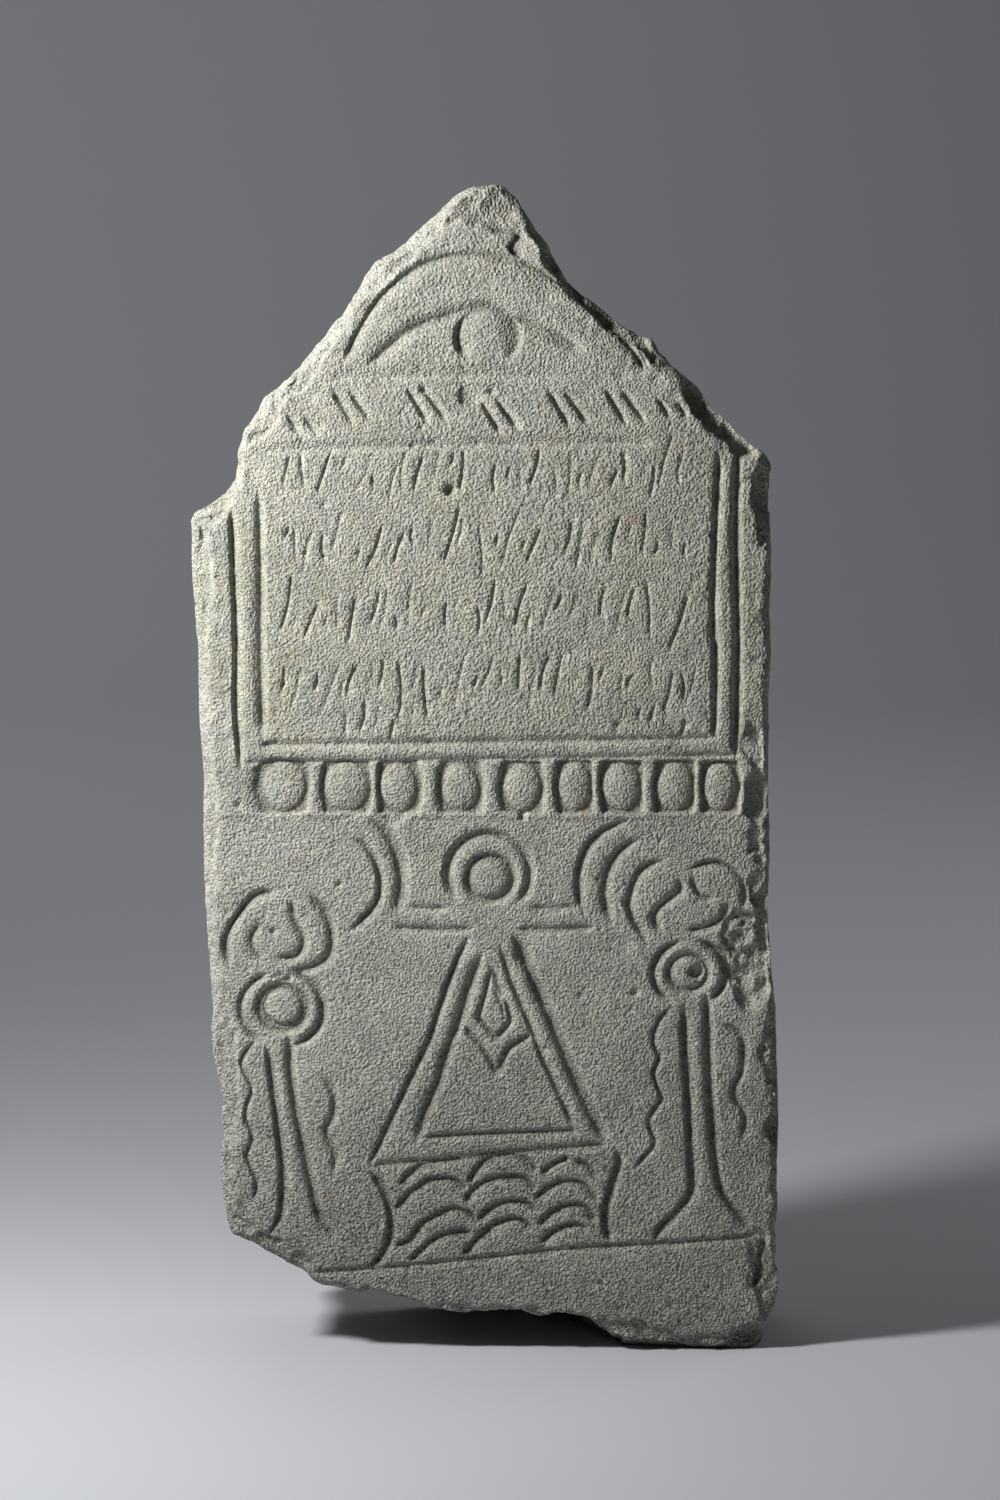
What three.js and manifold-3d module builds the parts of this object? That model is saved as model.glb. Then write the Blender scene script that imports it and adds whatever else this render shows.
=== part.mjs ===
// Votive stele: one upright slab of granular stone with a broken gable top, a carved front and a broken foot.
// Millimetres, +Z up, the carved face looks toward -Y and the slab stands on the flat of its underside.
import * as THREE from 'three';
import { mergeVertices } from 'three/addons/utils/BufferGeometryUtils.js';
import Module from 'manifold-3d';

// ---- the slab ----
const THICKNESS = 90;
const FRONT = -THICKNESS / 2;
const MIDDLE_X = 1.85; // the drawn outline is moved by this much to stand centred on the axis

// Outline of the slab from the carved side, one run of corners per edge, as [x, z].
const LEFT_EDGE = [
  [-110.8, 57], [-112.8, 70], [-113.6, 78], [-113.3, 88], [-111.8, 95], [-113, 101], [-112, 109], [-114, 118],
  [-116.2, 129], [-117, 141], [-116.3, 150], [-117.5, 166], [-119.3, 195], [-120, 225], [-119.5, 250],
  [-121.3, 272], [-121.5, 301], [-123.6, 332], [-124.1, 358],
];
const LEFT_SHOULDER = [[-122, 362], [-116, 365.5], [-109.5, 369.5], [-105.6, 376], [-104.2, 386], [-102.6, 395]];
const LEFT_RAKE = [
  [-98.5, 402], [-92.5, 410.5], [-85, 417], [-77.5, 423.5], [-71, 433], [-60.5, 444.5], [-54, 454], [-50, 461.5],
  [-46, 467.5], [-37, 472], [-29, 480.2], [-20, 488], [-12.5, 495], [-4, 499],
];
const RIGHT_RAKE = [
  [4, 500], [8.5, 499], [14.5, 493.3], [18, 486.5], [23, 480], [28, 473.5], [32.3, 464], [38, 456.5], [46, 450.3],
  [53, 445.5], [60, 440], [65, 436], [71, 435.5], [74.5, 429.5], [82, 422.5], [90, 415], [95.5, 407.5],
];
const RIGHT_SHOULDER = [[104, 400], [109, 394.5], [113, 390.5], [119, 386.8], [121.7, 382.5]];
const RIGHT_EDGE = [
  [121.3, 366], [121.8, 346], [121.6, 318], [122.2, 303], [121.3, 284], [121.2, 246], [122.2, 216], [121.3, 190],
  [123, 168], [124.9, 150], [125.5, 130], [126.4, 105], [126, 82], [126.3, 67], [125.8, 54], [126.3, 39],
  [128, 29], [126.4, 22], [123, 14], [120.4, 7.5], [116.5, 2],
];
const FOOT_EDGE = [
  [107, 0.4], [90, 1.5], [72, 2.9], [55, 5.6], [48.5, 10.5], [41, 13.8], [31, 15.5], [24, 13.9], [16, 16.2],
  [2, 16.2], [-11, 15.7], [-23, 17.3], [-31, 21], [-46, 23.8], [-59, 25], [-72, 28.3], [-79, 34.2], [-91, 41.4],
  [-103, 47.6], [-109.4, 50.8],
];

// ---- the carving ----
const LIFT = 0.8; // how far every cutter stands out of the face
const POINTED = 0.3; // a cut line narrows to this share of itself at its ends
const FRAME_DEPTH = 2.2;
const GABLE_DEPTH = 2;
const SYMBOL_DEPTH = 2.4;
const DEEP_CUT = 3;
const FAINT_DEPTH = 0.8;

const wasm = await Module();
wasm.setup();

// ---- small helpers ----
const at = (x, z) => new THREE.Vector2(x, z);
const along = (list) => list.map(([x, z]) => at(x, z));

// A smooth line through a few corners, cut into equal lengths.
function smooth(list, steps) {
  const knots = list.map(([x, z]) => new THREE.Vector3(x, 0, z));
  const curve = new THREE.CatmullRomCurve3(knots, false, 'centripetal');
  return curve.getSpacedPoints(steps).map((p) => at(p.x, p.z));
}

// Part of an ellipse from one angle to another, in degrees, zero to the right and ninety up.
function arc(cx, cz, rx, rz, from, to, steps) {
  return Array.from({ length: steps + 1 }, (_, i) => {
    const a = THREE.MathUtils.degToRad(THREE.MathUtils.lerp(from, to, i / steps));
    return at(cx + rx * Math.cos(a), cz + rz * Math.sin(a));
  });
}

// A closed body from corners and triangles, turned so that its faces look outward.
function body(corners, triangles) {
  const [a, b, c] = [new THREE.Vector3(), new THREE.Vector3(), new THREE.Vector3()];
  let volume = 0;
  for (const [i, j, k] of triangles) {
    a.fromArray(corners[i]);
    b.fromArray(corners[j]);
    c.fromArray(corners[k]);
    volume += a.dot(b.cross(c));
  }
  const outward = volume < 0 ? triangles.map(([i, j, k]) => [i, k, j]) : triangles;
  return new wasm.Manifold(new wasm.Mesh({
    numProp: 3,
    vertProperties: Float32Array.from(corners.flat()),
    triVerts: Uint32Array.from(outward.flat()),
  }));
}

// The same for a ready-made three.js shape.
function fromShape(shape) {
  shape.deleteAttribute('normal');
  shape.deleteAttribute('uv');
  const merged = mergeVertices(shape, 1e-4);
  return new wasm.Manifold(new wasm.Mesh({
    numProp: 3,
    vertProperties: Float32Array.from(merged.attributes.position.array),
    triVerts: Uint32Array.from(merged.index.array),
  }));
}

const joined = (bodies) => bodies.reduce((whole, next) => whole.add(next));

// One cut line: a V-shaped cutter swept along a path on the carved face.
function groove(path, width, depth, { closed = false, ends = POINTED } = {}) {
  const n = path.length;
  const corners = [];
  path.forEach((point, i) => {
    const before = closed ? path[(i + n - 1) % n] : path[Math.max(i - 1, 0)];
    const after = closed ? path[(i + 1) % n] : path[Math.min(i + 1, n - 1)];
    const way = after.clone().sub(before).normalize();
    const share = !closed && (i === 0 || i === n - 1) ? ends : 1;
    const half = (width / 2) * (depth * share + LIFT) / depth;
    corners.push([point.x - way.y * half, FRONT - LIFT, point.y + way.x * half]);
    corners.push([point.x, FRONT + depth * share, point.y]);
    corners.push([point.x + way.y * half, FRONT - LIFT, point.y - way.x * half]);
  });
  const triangles = [];
  const spans = closed ? n : n - 1;
  for (let i = 0; i < spans; i += 1) {
    for (let side = 0; side < 3; side += 1) {
      const a = 3 * i + side;
      const b = 3 * i + ((side + 1) % 3);
      const c = 3 * ((i + 1) % n) + side;
      const d = 3 * ((i + 1) % n) + ((side + 1) % 3);
      triangles.push([a, b, d], [a, d, c]);
    }
  }
  if (!closed) triangles.push([2, 1, 0], [3 * n - 3, 3 * n - 2, 3 * n - 1]);
  return body(corners, triangles);
}

// A short straight stroke, pointed at both ends and deepest at its middle.
function stroke(x0, z0, x1, z1, width, depth) {
  const middle = at((x0 + x1) / 2, (z0 + z1) / 2);
  const half = at((x1 - x0) / 2, (z1 - z0) / 2).multiplyScalar((depth + LIFT) / depth);
  const side = at(-half.y, half.x).setLength((width / 2) * (depth + LIFT) / depth);
  const mouth = [half, side, half.clone().negate(), side.clone().negate()];
  const corners = mouth.map((way) => [middle.x + way.x, FRONT - LIFT, middle.y + way.y]);
  corners.push([middle.x, FRONT + depth, middle.y]);
  return body(corners, [[0, 1, 2], [0, 2, 3], [1, 0, 4], [2, 1, 4], [3, 2, 4], [0, 3, 4]]);
}

// A broken-away lump: a coarse ball, stretched and turned on the face, centred at a given depth behind it.
function chip(x, z, behind, rx, ry, rz, turn) {
  const lump = new THREE.IcosahedronGeometry(1, 1);
  lump.scale(rx, ry, rz);
  lump.rotateY(THREE.MathUtils.degToRad(turn));
  lump.translate(x, FRONT + behind, z);
  return fromShape(lump);
}

// ---- the plain slab ----
const sideCorners = [...LEFT_EDGE, ...LEFT_SHOULDER, ...LEFT_RAKE, ...RIGHT_RAKE, ...RIGHT_SHOULDER, ...RIGHT_EDGE];
const outline = along([...sideCorners, ...FOOT_EDGE]);
const footStart = sideCorners.length;

// How far the worn front edge stands in from the outline: the first zone that holds the corner counts.
const WEAR_ZONES = [
  { name: 'broken foot, left', x: [-130, -60], z: [0, 56], wear: 3.4 },
  { name: 'foot', x: [-60, 110], z: [0, 30], wear: 1.6 },
  { name: 'left arris', x: [-130, -100], z: [56, 362], wear: 4.6 },
  { name: 'right foot corner', x: [100, 130], z: [0, 45], wear: 7.5 },
  { name: 'right arris, broken top', x: [118, 130], z: [355, 390], wear: 6 },
  { name: 'right shoulder', x: [74, 120], z: [388, 430], wear: 6.2 },
];
const PLAIN_WEAR = 2.6;
const WEAR_SWAY = 0.3;

function frontWear(point, i) {
  const inside = ({ x, z }) => point.x >= x[0] && point.x <= x[1] && point.y >= z[0] && point.y <= z[1];
  const zone = WEAR_ZONES.find(inside);
  return (zone ? zone.wear : PLAIN_WEAR) * (1 + WEAR_SWAY * Math.sin(i * 2.3));
}

// Inward direction of the outline at one of its corners.
function inward(i) {
  const n = outline.length;
  const way = outline[(i + 1) % n].clone().sub(outline[(i + n - 1) % n]).normalize();
  return at(way.y, -way.x);
}

// The underside falls from the carved side to the ground. Toward the left corner it falls so little
// that it stays up all the way to the back, so the slab stands on the rest.
const ARRIS = 6.5;
const FALL = { leftX: -72, left: 0.22, rightX: 0, right: 0.85 };
const UNDER_GROUND = -10;

function undersideHeight(point, behind) {
  const x = THREE.MathUtils.clamp(point.x, FALL.leftX, FALL.rightX);
  const fall = THREE.MathUtils.mapLinear(x, FALL.leftX, FALL.rightX, FALL.left, FALL.right);
  return Math.max(point.y - fall * (behind - ARRIS), UNDER_GROUND);
}

// Every ring of the slab behind the front one: how far it lies behind the face, how far it stands in
// from the outline, and how much that sways along the roughly dressed side.
const RINGS = [
  { behind: ARRIS, inset: 0, sway: 0 },
  { behind: 38, inset: 0.9, sway: 0.9 },
  { behind: THICKNESS - 9, inset: 2.6, sway: 1.2 },
  { behind: THICKNESS, inset: 8, sway: 1.8 },
];

function slab() {
  const n = outline.length;
  const corners = [];
  outline.forEach((point, i) => {
    const moved = point.clone().addScaledVector(inward(i), frontWear(point, i));
    corners.push([moved.x, FRONT, moved.y]);
  });
  for (const { behind, inset, sway } of RINGS) {
    outline.forEach((point, i) => {
      const moved = point.clone().addScaledVector(inward(i), inset + sway * Math.sin(i * 1.9 + behind));
      const z = i >= footStart ? undersideHeight(point, behind) : moved.y;
      corners.push([moved.x, FRONT + behind, z]);
    });
  }
  const triangles = [];
  for (let ring = 0; ring < RINGS.length; ring += 1) {
    for (let i = 0; i < n; i += 1) {
      const a = ring * n + i;
      const b = ring * n + ((i + 1) % n);
      triangles.push([a, b, b + n], [a, b + n, a + n]);
    }
  }
  const cap = (ring) => {
    const flat = Array.from({ length: n }, (_, i) => at(corners[ring * n + i][0], corners[ring * n + i][2]));
    return THREE.ShapeUtils.triangulateShape(flat, []).map((t) => t.map((i) => ring * n + i));
  };
  triangles.push(...cap(0));
  triangles.push(...cap(RINGS.length).map(([i, j, k]) => [i, k, j]));
  return body(corners, triangles);
}

// ---- gable: crescent over a disc, with a row of slanting pairs below ----
function gable() {
  const outer = [[-60, 425], [-52, 441], [-42, 455], [-25, 467], [-4, 470.5], [16, 466.5], [30, 460], [48, 447], [64, 426]];
  const inner = [[-50, 424], [-40, 433], [-30, 440.5], [-16, 445.5], [0, 449.5], [12, 444.5], [27, 439.5], [42, 430]];
  const cuts = [
    groove(smooth(outer, 17), 4.4, GABLE_DEPTH),
    groove(smooth(inner, 13), 3, 1.5),
    groove(arc(0.5, 436.5, 12, 12, 232, -52, 14), 3, GABLE_DEPTH),
    groove(along([[-60, 418], [0, 419], [58, 418.5]]), 2, FAINT_DEPTH),
    groove(along([[-94, 388], [-20, 390.5], [60, 391.5]]), 2, FAINT_DEPTH),
    stroke(64.5, 431, 69, 422, 4, 2),
  ];
  const pairs = [[-84, 404], [-65, 414.5], [-33.5, 415], [-3, 411], [26, 414], [50, 414.5], [72, 411]];
  for (const [x, z] of pairs) {
    const length = x < -80 ? 10 : 16;
    cuts.push(stroke(x, z, x + 0.6 * length, z - length, 3, 1.8));
    cuts.push(stroke(x + 7, z - 0.5, x + 7 + 0.65 * length, z - 0.5 - 0.9 * length, 3, 1.8));
  }
  return cuts;
}

// ---- panel frame, rows of shallow strokes and the mouldings under them ----
function panel() {
  const cuts = [
    groove(smooth([[-107.5, 367], [-106.5, 340], [-105.6, 305], [-106, 280], [-104, 252]], 7), 3, FRAME_DEPTH),
    groove(smooth([[-96, 372], [-95.5, 340], [-95.6, 300], [-95, 266]], 6), 3, FRAME_DEPTH),
    groove(smooth([[98.5, 389], [97, 350], [96.3, 318], [97.5, 300], [97, 265]], 7), 2.8, FRAME_DEPTH),
    groove(smooth([[106.5, 391], [105.5, 355], [106.6, 312], [106.4, 285], [106, 256]], 7), 3.6, DEEP_CUT),
    groove(along([[-96, 263], [0, 264.5], [98, 266]]), 3.4, 1.4),
    groove(along([[-103, 255.6], [0, 257.4], [110, 259]]), 3.2, 1.6),
    groove(along([[-112, 233], [-30, 233.6], [-18, 231], [62, 232], [112, 235]]), 2.6, 1),
    stroke(-97.5, 298, -96, 289, 5, 2),
    stroke(96, 316, 96.5, 307, 6, 2),
  ];
  const rows = [[380, -84, 84], [350, -86, 86], [320, -86, 88], [290, -86, 88], [272, -66, -30], [272.5, 58, 82]];
  rows.forEach(([middle, from, to], row) => {
    const count = Math.round((to - from) / 8.6);
    for (let i = 0; i <= count; i += 1) {
      const x = THREE.MathUtils.lerp(from, to, i / count) + 1.6 * Math.sin(3.1 * i + row);
      const tall = (row > 3 ? 4 : 7) * (1 + 0.45 * Math.sin(1.7 * i + 2.2 * row));
      const lean = i % 3 === 2 ? -0.5 : 0.45;
      const z = middle + 2.2 * Math.sin(2.4 * i + row);
      cuts.push(stroke(x - lean * tall, z - tall, x + lean * tall, z + tall, 1.5, FAINT_DEPTH));
    }
  });
  return cuts;
}

// ---- bead-and-reel band: every bead lies between two upright cuts ----
function beadBand() {
  const beads = [
    [-87, 9], [-60, 9.2], [-37, 8], [-12, 7.3], [15.5, 7.5], [37.8, 6.8], [57, 7.3], [80.5, 7.5], [99.5, 7],
  ];
  const foot = 235;
  const head = 256;
  const bow = 1.2;
  const sides = beads.flatMap(([x, half]) => [[x - half, bow], [x + half, -bow]]);
  return [[-106, 0], ...sides, [111.5, 0]].map(([x, lean]) => {
    const path = [at(x + lean, head), at(x, (head + foot) / 2), at(x + lean, foot)];
    return groove(path, 3, FRAME_DEPTH, { ends: 0.8 });
  });
}

// ---- the standing sign: ringed head, bent arms, bar and a triangle with a lozenge ----
function sign() {
  const innerArmLeft = [[-57, 223], [-52, 221], [-47.5, 214.5], [-45, 205], [-46.5, 196], [-52, 189], [-58, 183]];
  const outerArmLeft = [[-49, 232], [-42.5, 225], [-38.5, 216.5], [-36.6, 206], [-37.6, 197], [-39.5, 191]];
  const innerArmRight = [[60, 231], [50, 226.5], [43, 219], [39.6, 209], [39.6, 198], [42, 191]];
  const outerArmRight = [[66, 223.5], [58.5, 219], [53, 211.5], [50.6, 202], [51.4, 193.5], [54, 186]];
  const triangleLeft = [[-7.5, 181], [-12, 172], [-16.5, 160.5], [-20.3, 149], [-24, 137], [-33, 118.5], [-50, 82]];
  const triangleRight = [[12, 181], [18, 166.5], [27, 145.5], [35, 125.5], [43, 107], [51.5, 90.5]];
  const sideLeft = [[-2, 174], [-7.5, 159], [-12, 143.5], [-17.2, 130], [-20.5, 118], [-26, 105.5], [-30.5, 91.5]];
  const sideRight = [[6, 177], [11, 161.5], [18.5, 143.5], [23.5, 130], [31.5, 112.5], [38, 97.5]];
  return [
    groove(arc(1.3, 208, 17.2, 17, 218, -42, 18), 3.2, SYMBOL_DEPTH),
    groove(arc(2, 206, 9, 9, 0, 336, 14), 2.6, 2, { closed: true }),
    groove(smooth(innerArmLeft, 10), 3, SYMBOL_DEPTH),
    groove(smooth(outerArmLeft, 8), 3.4, SYMBOL_DEPTH),
    groove(smooth(innerArmRight, 9), 3, SYMBOL_DEPTH),
    groove(smooth(outerArmRight, 8), 3, SYMBOL_DEPTH),
    groove(along([[-34, 194.5], [-25, 193], [-15, 193.5]]), 2.4, 1.6),
    groove(along([[19, 193.5], [30, 193], [40, 194.5]]), 2.4, 1.6),
    groove(along([[-40, 185], [-22, 184.3], [-5, 184.5]]), 3, 2),
    groove(along([[14, 184.5], [30, 184.4], [47, 185]]), 3, 2),
    groove(along(triangleLeft), 3.4, SYMBOL_DEPTH),
    groove(along(triangleRight), 3.2, DEEP_CUT),
    groove(along(sideLeft), 3.2, SYMBOL_DEPTH),
    groove(along(sideRight), 2.2, 1.8),
    groove(along([[-27, 94], [0, 95.5], [40, 97]]), 3, 1.8),
    groove(along([[-48, 82], [-20, 84.2], [10, 87.5], [52, 91]]), 3, 1.8),
    groove(along([[2.5, 168], [0, 156.5], [-3, 146.5], [4.4, 137.2], [10.6, 144.5], [8, 154]]), 2.6, 1.8),
    groove(along([[-10, 143], [-2, 134], [5, 122.5], [9.5, 132.5], [20, 139.5]]), 2.8, 1.8),
  ];
}

// ---- the two wound staffs, with a ring, a crescent, a stem and waving ribbons ----
function leftStaff() {
  const crescent = [[-89, 200], [-98, 198.5], [-106, 189.5], [-111, 179], [-109.5, 167]];
  const crescentRight = [[-74, 200], [-68.5, 189], [-65, 178.5], [-70, 170.3], [-83, 165.5]];
  const hornLeft = [[-100, 181], [-98, 175], [-94, 170.5]];
  const hornRight = [[-82.5, 197], [-81, 187], [-78, 179], [-82, 172.3], [-88, 172.5]];
  const stemLeft = [[-94, 134], [-92, 119], [-90.2, 104], [-88, 84], [-87.6, 72], [-88.8, 60], [-93, 51]];
  const stemRight = [[-84.4, 139], [-84, 124], [-81.7, 106], [-78.3, 88], [-75.2, 73], [-71.5, 57.5], [-67, 49.5]];
  const ribbonLeft = [
    [-98, 137], [-102.5, 131.5], [-105, 126], [-102.5, 120], [-100.4, 114.5], [-102.7, 107.5], [-103, 101.5],
    [-100.2, 95], [-101.5, 89.5], [-103, 86], [-100.4, 79], [-98.4, 73], [-100.5, 65],
  ];
  const ribbonRight = [
    [-72, 121], [-67.5, 117], [-65, 110], [-66, 103], [-69, 97], [-66.8, 91], [-65, 85], [-66, 76],
  ];
  return [
    groove(smooth(crescent, 8), 3, SYMBOL_DEPTH),
    groove(smooth(crescentRight, 9), 3, SYMBOL_DEPTH),
    groove(smooth(hornLeft, 4), 2.6, 1.8),
    groove(smooth(hornRight, 9), 2.6, 1.8),
    groove(arc(-87.5, 150, 18, 17.5, 146, 215, 6), 2, 1.6),
    groove(arc(-87.5, 150, 17, 17, 40, -72, 9), 3.4, DEEP_CUT),
    groove(arc(-86.5, 150.5, 11, 10, 125, 205, 5), 4, 2),
    groove(arc(-86.5, 150, 8.2, 7.5, 25, -70, 5), 3.4, 2),
    groove(along(stemLeft), 3.6, DEEP_CUT),
    groove(along(stemRight), 3.2, DEEP_CUT),
    groove(smooth(ribbonLeft, 18), 1.8, 1.4),
    groove(smooth(ribbonRight, 14), 3, 1.8),
  ];
}

function rightStaff() {
  const crescent = [[76, 214.5], [66.5, 210], [61.6, 200], [62, 190.5], [69, 178.5]];
  const crescentRight = [[86, 210.5], [98, 213], [107.5, 205], [112, 192], [104, 183.5]];
  const hornLeft = [[84, 202], [75, 199], [71.6, 190], [76, 182.5]];
  const hornRight = [[85, 184], [96, 186.8], [102.4, 196]];
  const stemLeft = [[84.6, 151], [84.8, 136], [86, 118], [87, 98], [88, 80], [87.7, 70.5], [82, 62], [75, 55], [72, 48.5]];
  const stemRight = [[94, 156], [94.8, 140], [95.3, 122], [97, 98], [98.8, 80], [101.5, 69.5], [108, 60], [115, 51]];
  const ribbonLeft = [
    [79, 151], [74, 145], [71.4, 138], [72.5, 132], [74.3, 129], [71.6, 122.5], [73.5, 115.5], [75.2, 111],
    [71.5, 105.5], [69.5, 100], [72.2, 92], [68, 86], [63.5, 80.5],
  ];
  const ribbonRight = [
    [101, 143], [108, 139], [110, 133], [109.3, 123], [106, 115], [107, 109.5], [110.8, 103.5], [109.6, 92],
  ];
  return [
    groove(smooth(crescent, 8), 3, SYMBOL_DEPTH),
    groove(smooth(crescentRight, 9), 3, SYMBOL_DEPTH),
    groove(smooth(hornLeft, 6), 2.8, 1.8),
    groove(smooth(hornRight, 5), 2.8, 1.8),
    groove(arc(87, 167, 16, 15.5, 152, 236, 7), 2.6, SYMBOL_DEPTH),
    groove(arc(87, 167.5, 17, 15, 28, -52, 7), 4.6, DEEP_CUT),
    groove(arc(87.5, 165.5, 8.8, 8.2, 120, 215, 6), 2.8, 2),
    groove(along(stemLeft), 4, DEEP_CUT),
    groove(along(stemRight), 3.4, DEEP_CUT),
    groove(smooth(ribbonLeft, 18), 2, 1.5),
    groove(smooth(ribbonRight, 13), 2.8, 1.8),
    chip(90.8, 165.5, 0.4, 3.6, 3.4, 4, 20),
  ];
}

// ---- scales under the triangle: three columns of overlapping arches, and the ground line ----
function scales() {
  const columns = [
    { x: -38.5, width: 31, slope: 1.5, tops: [84.6, 76, 62.6, 52.6] },
    { x: -8.5, width: 29, slope: 1, tops: [86, 77, 66, 58.2] },
    { x: 20.5, width: 27, slope: 1, tops: [85.5, 75, 64.6, 55.6] },
  ];
  const cuts = [
    groove(smooth([[-49.5, 79], [-44.5, 71], [-41.4, 61], [-41.8, 50.5], [-45.5, 42.5], [-51, 36]], 9), 3, SYMBOL_DEPTH),
    groove(smooth([[55, 88], [56.7, 84], [54, 75], [51, 64], [51, 55], [53.5, 48]], 8), 3, SYMBOL_DEPTH),
    groove(smooth([[-75, 35], [-45, 37], [-20, 39.5], [15, 43.5], [40, 46], [80, 48], [116, 50.5]], 9), 3, 1.4),
  ];
  for (const { x, width, slope, tops } of columns) {
    for (const top of tops) {
      const rise = 13;
      const path = Array.from({ length: 7 }, (_, i) => {
        const share = i / 6;
        const bend = Math.sin(Math.PI * Math.min(share / 1.25, 0.8));
        return at(x + width * share, top - rise + rise * bend + slope * (share - 0.5));
      });
      cuts.push(groove(path, 2.6, 1.5));
    }
  }
  return cuts;
}

// ---- breaks along the edges and pits in the face ----
function damage() {
  return [
    chip(-4, 497, -2.5, 10, 4.5, 9, 0),
    chip(8, 490, -1.5, 12, 5, 12, 30),
    chip(82, 417, -1.5, 8, 5, 14, -40),
    chip(121, 372, -1.5, 9, 5, 17, 4),
    chip(117, 240, 0, 6.5, 4, 13, 0),
    chip(120.5, 183, -0.5, 5.5, 6, 22, 0),
    chip(105.2, 166, -1, 4, 6, 12, 0),
    chip(110, 153, -1, 4, 4, 7, 25),
    chip(125, 97, 0, 4.6, 6, 7, 0),
    chip(118.3, 39, 0, 2, 6, 12, 12),
    chip(113, 4, 0, 10, 7, 7, -30),
    chip(-107.5, 54, -1, 7, 4, 4, 20),
    chip(-116.5, 366, -1, 8, 6, 5, -25),
    chip(-6, 410, -0.6, 6, 2.4, 4, 30),
    chip(-14, 371, 0, 2.6, 2.4, 2.6, 0),
    chip(-88, 163.5, -1, 5, 2.6, 2.4, -30),
    chip(-103, 63, -1.5, 6, 2.8, 9, 12),
    chip(-78.5, 40, -1.5, 6, 4, 5, 40),
  ];
}

// ---- the whole stone ----
const carving = joined([
  ...gable(), ...panel(), ...beadBand(), ...sign(), ...leftStaff(), ...rightStaff(), ...scales(), ...damage(),
]);
const ground = new THREE.BoxGeometry(400, 200, 40);
ground.translate(0, 0, -20);
const stone = slab().subtract(carving).subtract(fromShape(ground)).translate([-MIDDLE_X, 0, 0]);

const mesh = stone.getMesh();
const geometry = new THREE.BufferGeometry();
geometry.setAttribute('position', new THREE.BufferAttribute(Float32Array.from(mesh.vertProperties), 3));
geometry.setIndex(new THREE.BufferAttribute(Uint32Array.from(mesh.triVerts), 1));
geometry.computeVertexNormals();

const granularStone = new THREE.MeshStandardMaterial({ color: '#96948a', roughness: 0.92, metalness: 0 });
const stele = new THREE.Mesh(geometry, granularStone);
stele.name = 'stele_slab';

const part = new THREE.Group();
part.name = 'carved_stone_stele';
part.add(stele);
export default part;
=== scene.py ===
import math

import bpy
import numpy as np
from bpy.props import FloatProperty, IntProperty, PointerProperty, StringProperty
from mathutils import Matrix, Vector


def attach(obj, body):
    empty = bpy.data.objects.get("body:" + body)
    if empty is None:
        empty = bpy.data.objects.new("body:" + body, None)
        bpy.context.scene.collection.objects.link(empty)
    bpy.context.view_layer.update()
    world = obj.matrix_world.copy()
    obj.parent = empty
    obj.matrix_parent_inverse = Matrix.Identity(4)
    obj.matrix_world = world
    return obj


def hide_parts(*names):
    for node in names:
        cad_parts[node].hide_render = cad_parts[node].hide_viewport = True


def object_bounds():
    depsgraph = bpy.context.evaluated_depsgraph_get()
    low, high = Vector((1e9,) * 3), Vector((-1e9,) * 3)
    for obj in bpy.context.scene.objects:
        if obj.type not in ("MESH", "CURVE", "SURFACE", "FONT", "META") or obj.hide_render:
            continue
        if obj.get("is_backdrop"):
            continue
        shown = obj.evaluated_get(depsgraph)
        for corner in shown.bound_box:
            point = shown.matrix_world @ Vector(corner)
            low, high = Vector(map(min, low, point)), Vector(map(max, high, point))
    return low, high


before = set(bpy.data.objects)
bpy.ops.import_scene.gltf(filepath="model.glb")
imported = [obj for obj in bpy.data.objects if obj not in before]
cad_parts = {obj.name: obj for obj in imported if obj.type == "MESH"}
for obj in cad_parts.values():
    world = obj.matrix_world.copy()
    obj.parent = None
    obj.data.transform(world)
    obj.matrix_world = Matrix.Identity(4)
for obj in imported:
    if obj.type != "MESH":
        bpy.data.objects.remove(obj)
CAD_LOW, CAD_HIGH = (tuple(corner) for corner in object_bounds())

bl_info = {
    "name": "Carved stone stele",
    "version": (1, 0, 0),
    "blender": (4, 5, 0),
    "location": "3D View > Sidebar > Stele",
    "description": "Carves and weathers one upright stone slab and sets a plain studio round it",
    "category": "Add Mesh",
}

# All the sizes below are in millimetres, x to the right and z up on the carved face. The whole number after a
# size in hashed, lumps, rough and scars is a seed, and each use has its own.
MM = 0.001
MIDDLE_X = 1.85  # the drawn outline stands this far right of the axis
FRONT = CAD_LOW[1] / MM
THICKNESS = (CAD_HIGH[1] - CAD_LOW[1]) / MM

# ---- outline of the slab
LEFT_EDGE = [
    (-110.8, 57), (-112.8, 70), (-113.6, 78), (-113.3, 88), (-111.8, 95), (-113, 101), (-112, 109),
    (-114, 118), (-116.2, 129), (-117, 141), (-116.3, 150), (-117.5, 166), (-119.3, 195), (-120, 225),
    (-119.5, 250), (-121.3, 272), (-121.5, 301), (-123.6, 332), (-124.1, 358),
]
GABLE_EDGE = [
    (-124.1, 358), (-122, 362), (-116, 365.5), (-109.5, 369.5), (-105.6, 376), (-104.2, 386), (-102.6, 395),
    (-98.5, 402), (-92.5, 410.5), (-85, 417), (-77.5, 423.5), (-71, 433), (-60.5, 444.5), (-54, 454),
    (-50, 461.5), (-46, 467.5), (-37, 472), (-29, 480.2), (-20, 488), (-12.5, 495), (-4, 499), (4, 500),
    (8.5, 499), (14.5, 493.3), (18, 486.5), (23, 480), (28, 473.5), (32.3, 464), (38, 456.5), (46, 450.3),
    (53, 445.5), (60, 440), (65, 436), (71, 435.5), (74.5, 429.5), (82, 422.5), (90, 415), (95.5, 407.5),
    (104, 400), (109, 394.5), (113, 390.5), (119, 386.8), (121.7, 382.5),
]
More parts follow.
